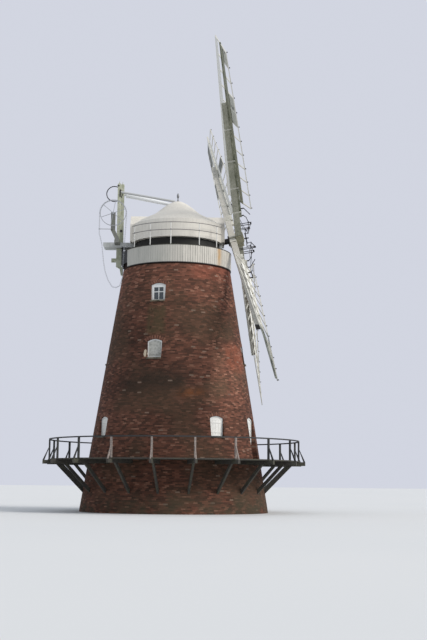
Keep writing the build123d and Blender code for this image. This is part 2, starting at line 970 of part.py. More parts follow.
def chain_guide(y0):
    """A rod on the wheel post with an eye that the chain hangs through."""
    height = gallery_floor_top + guide_lift
    half, thick = wheel_post_width / 2, guide_thickness / 2
    lug = box(wheel_x - half, wheel_x, wheel_plane - thick, y0, height - thick, height + thick)
    end = wheel_x - chain_reach()
    rod = rod_along_x(end - guide_eye_radius, wheel_x - half, guide_rod_radius, wheel_plane, height)
    place = Pos(end, wheel_plane, height)
    eye = place * Cylinder(guide_eye_radius, guide_thickness)
    hole = place * Cylinder(chain_radius + seat_gap, 2 * guide_thickness)
    return lug + rod + eye - hole


def chain_wheel():
    y, z = wheel_plane, gallery_floor_top + wheel_lift
    half = wheel_face / 2
    hub = wheel_hub_length / 2
    rim = rod_along_y(y - half, y + half, wheel_radius + wheel_rim / 2, wheel_x, z)
    rim = rim - rod_along_y(y - half - 1, y + half + 1, wheel_radius - wheel_rim / 2, wheel_x, z)
    wheel = rim + rod_along_y(y - hub, y + hub, wheel_hub_radius, wheel_x, z)
    for number in range(wheel_spokes):
        angle = math.radians(first_spoke + 360 / wheel_spokes * number)
        end = (wheel_x + wheel_radius * math.cos(angle), y, z + wheel_radius * math.sin(angle))
        wheel = wheel + beam_between((wheel_x, y, z), end, spoke_width, spoke_width)
    axle_end = wheel_post_plane + wheel_post_depth / 2 + axle_end_length
    put("chain_wheel", wheel + rod_along_y(y, axle_end, axle_radius, wheel_x, z))


def chain_reach():
    """Distance of the chain's middle from the wheel's middle, where it passes over the rim."""
    return wheel_radius + wheel_rim / 2 + chain_gap + chain_radius


def striking_chain():
    """One loop over the wheel, closed by a shackle, with its hanging points given from the gallery floor."""
    rear, front, y = wheel_x - chain_reach(), wheel_x + chain_reach(), wheel_plane
    wheel_height = gallery_floor_top + wheel_lift
    shackle_height = gallery_floor_top + guide_lift - shackle_drop
    rise = Line((rear, y, shackle_height + 1), (rear, y, wheel_height))
    crown = (wheel_x, y, wheel_height + chain_reach())
    over = ThreePointArc((rear, y, wheel_height), crown, (front, y, wheel_height))
    ends = [(rear, shackle_height - 2 * shackle_drop), (rear, shackle_height - 1)]
    hanging = [(x, gallery_floor_top + z) for x, z in chain_points]
    route = [(front, wheel_height)] + hanging + ends
    fall = FilletPolyline(*[(x, y, z) for x, z in route], radius=chain_bend)
    path = Wire([*rise.edges(), *over.edges(), *fall.edges()])
    tube = sweep(Plane(origin=path @ 0, z_dir=path % 0) * Circle(chain_radius), path=path)
    shackle = Pos(rear, y, shackle_height) * Cylinder(shackle_radius, shackle_length)
    put("striking_chain", tube + shackle)


def cap():
    cap_shell()
    finial()
    skirt()
    gallery_floor()
    cap_ring()
    cap_frame()
    gallery_rail()
    fan_posts()
    fan_stays()
    winding_post()
    wheel_post()
    striking_chain()


def on_hub(shape):
    """Move a shape from the sails' own frame, shaft along X and hub at the origin, to the mill."""
    x, y, z = on_shaft(shaft_hub_distance)
    return Pos(x, y, z) * (Rot(0, -shaft_incline, 0) * shape)


def stock_place(number):
    """Place of a sail's stock along the shaft: sails 1 and 3 share the outer one."""
    return stock_depth / 2 if number % 2 == 0 else -stock_depth / 2


def stock(length):
    """A stock that is deepest and widest at its middle and tapers to both ends."""
    half, middle = stock_depth / 2, stock_middle
    back = half - stock_tip_depth
    side = (
        (half, -length),
        (half, length),
        (back, length),
        (-half, middle),
        (-half, -middle),
        (back, -length),
    )
    deep = plate(side, -stock_width / 2, stock_width / 2)
    tip, wide = stock_tip_width / 2, stock_width / 2
    front = (
        (-tip, -length),
        (tip, -length),
        (wide, -middle),
        (wide, middle),
        (tip, length),
        (-tip, length),
        (-wide, middle),
        (-wide, -middle),
    )
    return deep & prism(front, -half, half)


def whip_front(place):
    """Distance of the whip's front face from the stock's middle, which falls towards the tip."""
    share = (place - whip_inner_end) / (whip_outer_end - whip_inner_end)
    return stock_depth / 2 + whip_depth + share * (whip_tip_depth - whip_depth)


def whip():
    back = stock_depth / 2
    low, high = whip_inner_end, whip_outer_end
    side = ((back, low), (whip_front(low), low), (whip_front(high), high), (back, high))
    deep = plate(side, -whip_width / 2, whip_width / 2)
    foot, tip = whip_width / 2, whip_tip_width / 2
    return deep & prism(((-foot, low), (foot, low), (tip, high), (-tip, high)), back, back + whip_depth)


def bar_place(number):
    """Distance along the sail of a bar, the first being number 0."""
    return first_bar + number * (last_bar - first_bar) / (bar_count - 1)


def weather(place):
    """The sail's twist at a distance from the hub."""
    return heel_weather + (place - first_bar) * (tip_weather - heel_weather) / (last_bar - first_bar)


def in_sail(place, across, depth=0):
    """A point of the twisted sail: across is negative on the leading side."""
    turn = math.radians(weather(place))
    x = whip_front(place) - bar_depth / 2 + depth
    return (x - across * math.sin(turn), across * math.cos(turn), place)


def sail_frame(leading_bars):
    """One sail on its whip: the sail points along Z, its leading side is towards -Y."""
    frame = whip()
    for number in range(bar_count):
        place = bar_place(number)
        reach = sail_half_width if number < leading_bars else 0
        bar = box(-bar_depth / 2, bar_depth / 2, -reach, sail_half_width, -bar_width / 2, bar_width / 2)
        frame = frame + Pos(*in_sail(place, 0)) * (Rot(0, 0, weather(place)) * bar)
    for across, bars in ((-sail_half_width, leading_bars), (sail_half_width, bar_count)):
        for number in range(bars - 1):
            start, end = in_sail(bar_place(number), across), in_sail(bar_place(number + 1), across)
            frame = frame + beam_between(start, end, uplong_width, uplong_width)
    return frame


def bay_shutters(bay, side):
    """The shutters of one bay, closed, with the bars on both sides as their seats."""
    low = bar_place(bay - 1) + bar_width / 2 + seat_gap
    high = bar_place(bay) - bar_width / 2 - seat_gap
    pitch = (high - low + seat_gap) / shutters_per_bay
    inner, outer = whip_width / 2 + shutter_side_gap, sail_half_width - uplong_width / 2 - shutter_side_gap
    half = shutter_thickness / 2
    left, right = sorted((side * inner, side * outer))
    panel = box(-half, half, left, right, 0, pitch - seat_gap)
    for number in range(shutters_per_bay):
        place = low + number * pitch
        yield Pos(*in_sail(place, 0)) * (Rot(0, 0, weather(place + pitch / 2)) * panel)


def sail_shutters(number):
    sides = ((-1, leading_shutters[number]), (1, trailing_shutters[number]))
    return [panel for side, bays in sides for bay in bays for panel in bay_shutters(bay, side)]


def sail_turn(number):
    return sail_rest_angle - 90 * number


def sails():
    shutters = []
    for number in range(4):
        place = Rot(sail_turn(number), 0, 0) * Pos(stock_place(number), 0, 0)
        leading_bars = bar_count if number % 2 == 0 else bar_count - 1
        put(f"sail_frame_{number + 1}", on_hub(place * sail_frame(leading_bars)))
        shutters += [on_hub(place * panel) for panel in sail_shutters(number)]
    put("sail_shutters", *shutters)
    outer = Rot(sail_turn(0), 0, 0) * (Pos(stock_place(0), 0, 0) * stock(outer_stock_half_length))
    inner = Rot(sail_turn(1), 0, 0) * (Pos(stock_place(1), 0, 0) * stock(inner_stock_half_length))
    put("outer_stock", on_hub(outer))
    put("inner_stock", on_hub(inner))
    half = poll_width / 2
    poll = Rot(sail_rest_angle, 0, 0) * box(-poll_back, poll_front, -half, half, -half, half)
    put("poll_end", on_hub(poll - outer - inner))
    start = tail_start - shaft_hub_distance
    shaft = rod_along_x(start, -poll_back, shaft_radius)
    tail = rod_along_x(start - tail_length, start, tail_radius)
    flange = rod_along_x(-poll_back - flange_thickness, -poll_back, flange_radius)
    put("windshaft", on_hub(shaft + tail + flange))


def flat_bar(points, y0, eye=0, width=gear_bar):
    """A flat bar along points of the XZ plane, gear_plate thick, with round ends or larger eyes."""
    y1 = y0 + gear_plate
    bar = None
    for x, z in points:
        end = rod_along_y(y0, y1, max(width / 2, eye), x, z)
        bar = end if bar is None else bar + end
    for (xa, za), (xb, zb) in zip(points, points[1:]):
        scale = width / 2 / math.hypot(xb - xa, zb - za)
        dx, dz = (zb - za) * scale, (xa - xb) * scale
        outline = ((xa + dx, za + dz), (xb + dx, zb + dz), (xb - dx, zb - dz), (xa - dx, za - dz))
        bar = bar + plate(outline, y0, y1)
    return bar


def pin(point, y0, y1):
    return rod_along_y(y0, y1, gear_pin_radius, *point)


def bore(point, y0, y1):
    return rod_along_y(y0 - 1, y1 + 1, gear_pin_radius + running_gap, *point)


def gear_layer(number):
    """The two faces of a layer of flat bars, each a running gap from the one below."""
    low = gear_plate / 2 + running_gap + (number - 1) * (gear_plate + running_gap)
    return low, low + gear_plate


def spider():
    """The cross on the end of the striking rod, with a long pin at the end of each arm."""
    half = gear_plate / 2
    cross = rod_along_x(poll_front, striking_rod_end, striking_rod_radius)
    cross = cross + rod_along_x(spider_plane - gear_bar, spider_plane + gear_bar, spider_hub_radius)
    for number in range(4):
        arm = flat_bar(((spider_plane, 0), (spider_plane, spider_reach)), -half)
        arm = arm + pin((spider_plane, spider_reach), half, gear_layer(2)[1])
        cross = cross + Rot(sail_turn(number), 0, 0) * arm
    return cross


def bracket_pivot():
    return poll_front + bracket_reach + bracket_end / 2, sum(bracket_places) / 2


def bracket(number):
    """Two bars from the front of a stock, tied at their ends, with a pin for the triangle."""
    half = gear_plate / 2
    face = stock_place(number) + stock_depth / 2
    low, high = bracket_places
    tip = poll_front + bracket_reach
    piece = box(tip, tip + bracket_end, -half, half, low, high)
    for z in bracket_places:
        piece = piece + box(face, tip + bracket_end, -half, half, z - gear_bar / 2, z + gear_bar / 2)
    return piece + pin(bracket_pivot(), half, gear_layer(1)[1])


def triangle(elbow):
    """The bell crank on a bracket's pin, with pins at its foot and elbow for the link and the rod."""
    low, high = gear_layer(1)
    pivot = bracket_pivot()
    crank = flat_bar((pivot, triangle_foot, elbow, pivot), low, gear_eye_radius)
    crank = crank - bore(pivot, low, high)
    return crank + pin(triangle_foot, high, gear_layer(2)[1]) + pin(elbow, high, gear_layer(2)[1])


def link():
    """The short link from a spider arm's pin to the triangle's foot."""
    low, high = gear_layer(2)
    start = (spider_plane, spider_reach)
    bar = flat_bar((start, triangle_foot), low, gear_eye_radius)
    return bar - bore(start, low, high) - bore(triangle_foot, low, high)


def lug(number, x, place, reach):
    """A block on the front of the whip that carries a rod or a lever."""
    face = stock_place(number) + whip_front(place - lug_width / 2)
    return box(face, x, -gear_plate / 2, reach, place - lug_width / 2, place + lug_width / 2)


def outer_sail_gear(number):
    """A curved rod back to the whip, and a heel lever that leans out in front of it."""
    elbow = outer_elbow
    first_low, first_high = gear_layer(1)
    low, high = gear_layer(2)
    foot = short_rod[-1]
    rod = flat_bar((elbow,) + short_rod, low, gear_eye_radius)
    rod = rod - bore(elbow, low, high) - bore(foot, low, high)
    base = lug(number, foot[0] + gear_eye_radius, foot[1], first_high) + pin(foot, first_high, high)
    heel, tip = heel_lever
    lever = flat_bar((heel, tip), first_low) + lug(number, heel[0], heel[1], first_high)
    return triangle(elbow), rod, base, lever


def inner_sail_gear(number):
    """A pair of long thin rods to a lever that lies along the whip."""
    elbow = inner_elbow
    low, high = gear_layer(2)
    start, end = elbow, long_rod_end
    back = -long_rod_spacing
    route = (start, end, (end[0] + back, end[1]), (start[0] + back, start[1]), start)
    rods = flat_bar(route, low, gear_eye_radius, long_rod_width) - bore(start, low, high)
    joint = route[2]
    rods = rods - bore(joint, low, high)
    first, last = long_lever
    lever = flat_bar(((joint[0], first), (joint[0], last)), gear_layer(1)[0], width=lug_width)
    lever = lever + pin(joint, gear_layer(1)[1], high)
    for place in (first + 2 * lug_width, last - lug_width):
        lever = lever + lug(number, joint[0], place, gear_layer(1)[1])
    return triangle(elbow), rods, lever


def striking_gear():
    pieces = [spider()]
    for number in range(4):
        gear = outer_sail_gear(number) if number % 2 == 0 else inner_sail_gear(number)
        for piece in (bracket(number), link()) + gear:
            pieces.append(Rot(sail_turn(number), 0, 0) * piece)
    put("striking_gear", *[on_hub(piece) for piece in pieces])


tower()
cap()
sails()
striking_gear()
chain_wheel()
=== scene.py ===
# %% [markdown]
# # A brick tower windmill
# The frame holds the mill's timber, iron and brick pieces at their real size, in metres. This notebook dresses them:
# it adds the boards, bricks, chain links and small fittings that are too fine for the frame, and it gives every
# surface a finish made only from nodes. Each piece rides on the body that carries it, so the cap and sails can turn.

# %% Load the frame
import json
import math

import bpy
from mathutils import Matrix, Vector


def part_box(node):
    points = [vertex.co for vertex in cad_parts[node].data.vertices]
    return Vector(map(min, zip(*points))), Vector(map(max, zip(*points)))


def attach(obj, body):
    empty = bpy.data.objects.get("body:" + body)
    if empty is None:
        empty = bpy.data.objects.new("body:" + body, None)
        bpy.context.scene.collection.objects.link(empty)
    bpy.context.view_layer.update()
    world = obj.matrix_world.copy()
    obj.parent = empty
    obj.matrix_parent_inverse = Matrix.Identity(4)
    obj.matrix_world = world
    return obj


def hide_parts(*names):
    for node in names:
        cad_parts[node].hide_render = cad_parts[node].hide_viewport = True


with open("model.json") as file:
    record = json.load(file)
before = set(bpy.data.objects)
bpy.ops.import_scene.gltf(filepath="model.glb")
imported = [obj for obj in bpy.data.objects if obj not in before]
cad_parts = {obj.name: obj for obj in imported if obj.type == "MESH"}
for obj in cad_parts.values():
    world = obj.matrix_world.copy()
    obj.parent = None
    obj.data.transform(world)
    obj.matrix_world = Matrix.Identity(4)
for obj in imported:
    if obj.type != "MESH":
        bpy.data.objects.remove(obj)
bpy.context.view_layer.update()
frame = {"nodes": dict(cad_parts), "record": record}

nodes = frame["nodes"]
print("frame nodes:", len(nodes))

# %% [markdown]
# ## Moves and turns
# A place is a matrix: a move, a turn round one axis, or several of them joined by @.

# %% Moves and turns


def move(x, y, z):
    return Matrix.Translation((x, y, z))


def turned(angle, axis="Z"):
    return Matrix.Rotation(angle, 4, axis)


# %% [markdown]
# ## The camera
# The viewpoint is a person's eye on level ground, 62 m from the tower, with the camera tipped up a little. The lens is
# long, so upright lines stay nearly upright. A camera is an object turned by a matrix: first its heading, then the tilt
# from looking straight down, then a small roll about its own line of sight.

# %% Camera
camera_distance = 61.68
camera_eye_height = 1.5635
camera_bearing = math.radians(0.98)
camera_heading = math.radians(-0.917)
camera_tilt = 0.1427
camera_roll = 0.009
camera_lens = 63.75


def add_camera():
    eye = bpy.data.cameras.new("camera")
    eye.lens = camera_lens
    eye.sensor_width = 36
    eye.clip_end = 1000
    camera = bpy.data.objects.new("camera", eye)
    bpy.context.scene.collection.objects.link(camera)
    x = camera_distance * math.sin(camera_bearing)
    y = -camera_distance * math.cos(camera_bearing)
    turn = turned(camera_heading)
    turn = turn @ turned(math.pi / 2 + camera_tilt, "X")
    turn = turn @ turned(camera_roll)
    camera.matrix_world = move(x, y, camera_eye_height) @ turn
    bpy.context.scene.camera = camera
    return camera


camera = add_camera()
print("camera at", tuple(round(v, 2) for v in camera.location))

# %% [markdown]
# ## The wall and its openings
# The wall is a cone, so its radius falls evenly with height. The windows stand in three rows, given by their bearings
# round the tower in degrees, the height of their sills and their own height. The two doors have a bearing and a floor.

# %% Wall and openings
foot_radius = 5.057
top_radius = 2.8526
wall_height = 13.62
batter = (foot_radius - top_radius) / wall_height
window_width = 0.79
window_rows = (
    ((-59.1, 30.9, 120.9, -149.1), 3.92, 1.02),
    ((-106.7, -9, 83.3, 173.3), 7.94, 0.96),
    ((-106.8, 73.2), 11.01, 0.92),
)
door_width = 0.9
door_height = 2.25
doors = ((-20, 2.75), (160, 0.15))


def wall_radius(z):
    return foot_radius - batter * z


print("wall radius at the stage:", round(wall_radius(doors[0][1]), 3))

# %% [markdown]
# ## Materials as expressions
# A node tree reads best as a formula. The class Value wraps one socket of a tree, so that writing `1 - mask * 0.5` adds
# the Math nodes. The class Finish holds one material, and its method node() adds every other kind of node.


# %% Node helpers
def operator(operation):
    """A method that adds one Math node for two values."""
    return lambda self, other: self.maths(operation, self, other)


class Value:
    """A number that changes over a surface, which adds Math nodes when it is used in an expression."""

    def __init__(self, finish, socket):
        self.finish = finish
        self.socket = socket

    def maths(self, operation, *values):
        inputs = dict(enumerate(values))
        return self.finish.node("ShaderNodeMath", {"operation": operation}, inputs)

    __add__ = operator("ADD")
    __sub__ = operator("SUBTRACT")
    __mul__ = operator("MULTIPLY")
    __truediv__ = operator("DIVIDE")
    __mod__ = operator("FLOORED_MODULO")
    most = operator("MAXIMUM")

    def __rsub__(self, other):
        return self.maths("SUBTRACT", other, self)

    def floor(self):
        return self.maths("FLOOR", self)

    def part(self):
        """What is left past the whole number."""
        return self.maths("FRACT", self)

    def size(self):
        return self.maths("ABSOLUTE", self)

    def ramp(self, low, high):
        """0 at low and 1 at high, with a soft step between them."""
        settings = {"interpolation_type": "SMOOTHSTEP"}
        inputs = {"Value": self, "From Min": low, "From Max": high, "To Min": 0, "To Max": 1}
        return self.finish.node("ShaderNodeMapRange", settings, inputs)


class Finish:
    """One material made from nodes."""

    def __init__(self, name, roughness=0.6, metallic=0.0, specular=0.5):
        self.material = bpy.data.materials.new(name)
        self.material.use_nodes = True
        self.tree = self.material.node_tree
        self.shader = self.tree.nodes["Principled BSDF"]
        self.shader.inputs["Roughness"].default_value = roughness
        self.shader.inputs["Metallic"].default_value = metallic
        self.shader.inputs["Specular IOR Level"].default_value = specular
        self.place = self.node("ShaderNodeTexCoord", {}, {}, "Object")
        parts = self.node("ShaderNodeSeparateXYZ", {}, {0: self.place}, "X")
        outputs = parts.socket.node.outputs
        self.x, self.y, self.z = [Value(self, outputs[axis]) for axis in "XYZ"]

    def node(self, kind, settings, inputs, output=0):
        """Add a node: its settings come first, then the values or links of its sockets."""
        made = self.tree.nodes.new(kind)
        for name, value in settings.items():
            if name == "stops":
                self.set_stops(made.color_ramp.elements, value)
            else:
                setattr(made, name, value)
        for name, value in inputs.items():
            self.feed(made.inputs[name], value)
        return Value(self, made.outputs[output])

    def set_stops(self, elements, stops):
        while len(elements) < len(stops):
            elements.new(1.0)
        for element, (position, colour) in zip(elements, stops):
            element.position = position
            element.color = (*colour, 1)

    def feed(self, socket, value):
        if isinstance(value, Value):
            self.tree.links.new(value.socket, socket)
        elif socket.type == "RGBA" and len(value) == 3:
            socket.default_value = (*value, 1)
        else:
            socket.default_value = value

    def set(self, name, value):
        self.feed(self.shader.inputs[name], value)

    def spot(self, x, y, z):
        """A point made from three values."""
        return self.node("ShaderNodeCombineXYZ", {}, {0: x, 1: y, 2: z})

    def noise(self, scale, detail=4, roughness=0.55, at=None):
        inputs = {"Vector": at or self.place, "Scale": scale, "Detail": detail, "Roughness": roughness}
        return self.node("ShaderNodeTexNoise", {}, inputs, "Fac")

    def random(self, a, b):
        """A number that is the same all over one cell."""
        settings = {"noise_dimensions": "2D"}
        return self.node("ShaderNodeTexWhiteNoise", settings, {"Vector": self.spot(a, b, 0)}, "Value")

    def mix(self, low, high, share):
        settings = {"data_type": "RGBA", "clamp_factor": True}
        return self.node("ShaderNodeMix", settings, {0: share, 6: low, 7: high}, 2)

    def times(self, colour, factor):
        """A colour made darker or lighter by a number that changes over the surface."""
        settings = {"data_type": "RGBA", "blend_type": "MULTIPLY"}
        return self.node("ShaderNodeMix", settings, {0: 1.0, 6: colour, 7: self.grey(factor)}, 2)

    def grey(self, value):
        return self.node("ShaderNodeCombineColor", {}, {0: value, 1: value, 2: value})

    def stops(self, value, stops):
        return self.node("ShaderNodeValToRGB", {"stops": stops}, {0: value}, "Color")

    def surface(self, colour, height, distance):
        """Set the colour and the bump, and return the finish."""
        self.set("Base Color", colour)
        inputs = {"Strength": 1.0, "Distance": distance, "Height": height}
        self.set("Normal", self.node("ShaderNodeBump", {}, inputs, "Normal"))
        return self

    def angle(self):
        """The bearing round the tower's axis, in radians."""
        return self.y.maths("ARCTAN2", self.y, self.x)

    def near(self, middle, reach, value):
        """1 where a value is at its middle, falling softly to 0 at its reach."""
        return 1 - ((value - middle).size() / reach).ramp(0, 1)


# %% [markdown]
# ## Brick
# The tower leans inwards as it rises, so each course is a little shorter than the one below it. The pattern works like
# the bricklayer: the height gives the course, the course gives its own radius, and the length along the course gives
# the brick. Every brick then takes a random colour, and the mortar is what is left between them.

# %% Brick finish
course_height = 0.075
brick_length = 0.228
joint = 0.011
top_window_bearing = math.radians(window_rows[2][0][0])
skirt_foot = 13.07


def brick_pattern(finish):
    """The two cell numbers of a brick and the mortar between the bricks."""
    course = (finish.z / course_height).floor()
    radius = foot_radius - course * (batter * course_height)
    along = finish.angle() * radius / brick_length + finish.random(course, 3.0) * 0.35 + (course % 2) * 0.5
    brick = along.floor()
    u = (along.part() - 0.5).size()
    v = ((finish.z / course_height).part() - 0.5).size()
    side = u.ramp(0.5 - joint / brick_length, 0.5 - 0.3 * joint / brick_length)
    bed = v.ramp(0.5 - joint / course_height, 0.5 - 0.3 * joint / course_height)
    return brick, course, side.most(bed)


sunny_bearing = math.radians(-44)
bright_bearing = math.radians(-29)
soot_bearing = math.radians(-105)
orange_bearing = math.radians(-77)
plaster_bearing = math.radians(-114.2)


def brick_patches(finish, colour):
    """Large patches of colour: greener and redder bricks, painted sunlight on the sunny side, soot and an orange
    repair.
    """
    colour = finish.times(colour, finish.noise(0.5, 3).ramp(0.25, 0.75) * 0.5 + 0.75)
    height = finish.z.ramp(8.8, 12.4) * 0.6 + (1 - finish.z.ramp(4.4, 6.4)) * 0.2 + 1
    colour = finish.times(colour, height)
    green = finish.noise(0.33, 3, 0.5).ramp(0.48, 0.62)
    colour = finish.mix(colour, (0.062, 0.043, 0.026), green * 0.5)
    # Painted sunlight: the bricks on the sunny side are made up to 2.2 times brighter
    painted_sunlight = finish.near(sunny_bearing, 0.85, finish.angle()) * finish.near(7.2, 3.1, finish.z)
    colour = finish.times(colour, painted_sunlight * 1.2 + 1)
    bright = finish.near(bright_bearing, 0.42, finish.angle()) * finish.near(8.1, 1.1, finish.z)
    bright = bright.ramp(0, 0.5) * finish.noise(2.4, 4).ramp(0.3, 0.6)
    colour = finish.mix(colour, finish.times((0.33, 0.1, 0.055), finish.noise(12, 3) + 0.4), bright * 0.55)
    soot = finish.near(soot_bearing, 0.8, finish.angle()).ramp(0, 0.5) * finish.near(6.75, 1.0, finish.z)
    colour = finish.mix(colour, (0.022, 0.015, 0.011), soot * finish.noise(0.9, 4).ramp(0.3, 0.55) * 0.8)
    repair = finish.near(orange_bearing, 0.26, finish.angle()) * finish.near(6.1, 0.45, finish.z)
    return finish.mix(colour, (0.19, 0.065, 0.024), repair * finish.noise(3, 4).ramp(0.3, 0.6) * 0.8)


def brick_marks(finish, colour, cell):
    """Small marks: a red band under the skirt, single pale bricks, a mossy run, plaster and damp at the foot."""
    red = finish.z.ramp(12.15, 12.35) * finish.near(sunny_bearing, 0.75, finish.angle()).ramp(0, 0.4)
    red = red * finish.noise(1.4, 4).ramp(0.25, 0.5)
    colour = finish.mix(colour, finish.times((0.22, 0.075, 0.048), cell + 0.5), red * 0.7)
    pale = cell.ramp(0.988, 0.992) + cell.ramp(0.95, 0.96) * red
    colour = finish.mix(colour, (0.26, 0.19, 0.145), pale * 0.5)
    run = finish.near(top_window_bearing, 0.24, finish.angle()).ramp(0.1, 0.6)
    run = run * finish.near(9.95, 1.1, finish.z).ramp(0.05, 0.4)
    colour = finish.mix(colour, (0.07, 0.052, 0.028), run * finish.noise(2.2, 4).ramp(0.2, 0.5) * 0.7)
    colour = finish.mix(colour, (0.02, 0.014, 0.009), run * finish.noise(6, 4).ramp(0.58, 0.68) * 0.8)
    plaster = finish.near(plaster_bearing, 0.035, finish.angle()) * finish.near(8.18, 0.3, finish.z)
    colour = finish.mix(colour, (0.5, 0.42, 0.32), (plaster * finish.noise(7, 3)).ramp(0.12, 0.2))
    # Painted shadow: the bricks just under the skirt's edge are made much darker
    colour = finish.times(colour, 1 - finish.z.ramp(skirt_foot - 0.09, skirt_foot - 0.05) * 0.85)
    damp = (1 - finish.z.ramp(0.1, 1.6)) * finish.noise(1.3, 4).ramp(0.35, 0.65)
    return finish.mix(colour, (0.045, 0.047, 0.03), damp * 0.6)


def brick_finish():
    finish = Finish("brick", 0.88, 0.0, 0.15)
    brick, course, mortar = brick_pattern(finish)
    own = finish.random(brick, course)
    colour = finish.stops(own, [
        (0.0, (0.04, 0.019, 0.013)),
        (0.3, (0.064, 0.028, 0.019)),
        (0.6, (0.09, 0.037, 0.024)),
        (0.9, (0.122, 0.05, 0.033)),
        (1.0, (0.18, 0.088, 0.06)),
    ])
    mortar_colour = finish.mix((0.034, 0.025, 0.019), (0.1, 0.073, 0.055), finish.noise(3, 3))
    colour = finish.mix(brick_patches(finish, colour), mortar_colour, mortar * 0.55)
    colour = brick_marks(finish, colour, finish.random(course, brick))
    grain = finish.noise(60, 4)
    finish.set("Roughness", finish.noise(30, 3) * 0.2 + 0.78)
    height = (1 - mortar) + own * 0.25 + grain * 0.35
    return finish.surface(finish.times(colour, grain * 0.5 + 0.75), height, 0.006)


# %% [markdown]
# ## Painted and bare timber
# Old white paint goes chalky, streaks downwards and lets grey wood and green growth through. One function makes each
# shade of it. The runs are noise that is squeezed sideways and stretched upright.

# %% Timber finishes


def paint_layers(finish, colour, dirt, wear, streak):
    """Weathered paint: its colour, and its height for the bump."""
    stretched = finish.spot(finish.x * 6, finish.y * 6, finish.z * 0.7)
    runs = finish.noise(1.6, 5, 0.6, stretched)
    cloud = finish.noise(0.9, 4)
    fine = finish.noise(40, 4)
    shade = finish.mix(colour, dirt, runs.ramp(0.42, 0.78) * streak)
    shade = finish.mix(shade, dirt, cloud.ramp(0.5, 0.8) * wear)
    specks = finish.noise(11, 6, 0.7).ramp(0.62, 0.7)
    shade = finish.mix(shade, tuple(0.55 * c for c in dirt), specks * wear)
    return finish.times(shade, fine * 0.16 + 0.92), fine * 0.5 + specks * 0.4 + runs * 0.3


def painted(name, rough, colour, dirt, wear, streak):
    """A new finish, with the colour and the height of its weathered paint."""
    finish = Finish(name, rough)
    return finish, *paint_layers(finish, colour, dirt, wear, streak)


def paint_finish(name, colour, dirt, wear=0.3, streak=0.4):
    rough = 0.62
    finish, shade, height = painted(name, rough, colour, dirt, wear, streak)
    finish.set("Roughness", finish.noise(0.9, 4) * 0.25 + (rough - 0.1))
    return finish.surface(shade, height, 0.002)


def open_grain(finish):
    return finish.noise(14, 6, 0.7, finish.spot(finish.x * 0.6, finish.y * 0.6, finish.z * 2.5))


def bare_timber_finish(name, dark, light, moss=0.0):
    """Grey weathered timber with open grain, and moss where it is asked for."""
    finish = Finish(name, 0.85)
    grain = open_grain(finish)
    cloud = finish.noise(1.2, 4)
    shade = finish.mix(dark, light, grain.ramp(0.3, 0.7) * 0.7 + cloud * 0.3)
    growth = finish.noise(3.5, 5, 0.65).ramp(0.45, 0.62)
    shade = finish.mix(shade, (0.16, 0.19, 0.07), growth * moss)
    finish.set("Roughness", grain * 0.2 + 0.72)
    return finish.surface(shade, grain + growth * moss, 0.004)


# %% [markdown]
# ## The cap's skirt
# The skirt is close upright boards. Each board has its own tone, so the boards can be told apart from far away. Rust
# from an iron fixing runs down near the sails. Painted shade darkens the joints, the left half and the lowest edge, and
# the winding case at the rear is painted black for the shade there.

# %% Skirt finish
skirt_boards = 118
skirt_open = math.radians(153.8)
rust_bearing = math.radians(-39.6)


def skirt_finish():
    paint, dirt = (0.53, 0.5, 0.45), (0.27, 0.28, 0.24)
    finish, shade, height = painted("skirt_paint", 0.6, paint, dirt, 0.25, 0.4)
    along = (finish.angle() + skirt_open) / (2 * skirt_open) * skirt_boards
    # The boards' tones and the painted shade in their joints show most on the lit right side
    lit_side = finish.x.ramp(-0.6, 0.9)
    shade = finish.times(shade, finish.random(along.floor(), 1.0) * 0.22 * (lit_side * 0.7 + 0.3) + 0.88)
    # Painted shade in the joints between the boards
    joint_shade = (along.part() - 0.5).size().ramp(0.36, 0.44) * finish.noise(1.8, 3).ramp(0.3, 0.6)
    shade = finish.times(shade, 1 - joint_shade * lit_side * 0.45)
    # Painted shade: the left half, away from the lamp, is made darker and greener
    left_side_shade = (1 - finish.x.ramp(-1.4, 0.4)) * 0.3
    shade = finish.mix(shade, (0.36, 0.38, 0.35), left_side_shade)
    streaks = finish.noise(3, 4, 0.6, finish.spot(finish.x * 5, finish.y * 5, finish.z * 0.8)).ramp(0.35, 0.6)
    rust = finish.near(rust_bearing, 0.095, finish.angle()) * (streaks * 0.5 + 0.6)
    rust = rust * (finish.z.ramp(12.8, 14.0) * 0.6 + 0.4)
    shade = finish.mix(shade, (0.45, 0.255, 0.085), rust)
    # Painted shadow: the lowest few centimetres of the boards are made nearly black, for the shade under the skirt
    shade = finish.times(shade, 1 - (1 - finish.z.ramp(skirt_foot + 0.03, skirt_foot + 0.05)) * 0.93)
    # Painted shade: the winding case at the rear is made black for the shade there
    case_shade = 1 - finish.x.ramp(-2.69, -2.675)
    return finish.surface(finish.mix(shade, (0.016, 0.016, 0.017), case_shade), height, 0.002)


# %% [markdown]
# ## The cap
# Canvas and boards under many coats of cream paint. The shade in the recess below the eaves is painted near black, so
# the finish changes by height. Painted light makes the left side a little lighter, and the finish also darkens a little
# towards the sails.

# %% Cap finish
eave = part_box("cap_wall")[1].z - 0.98


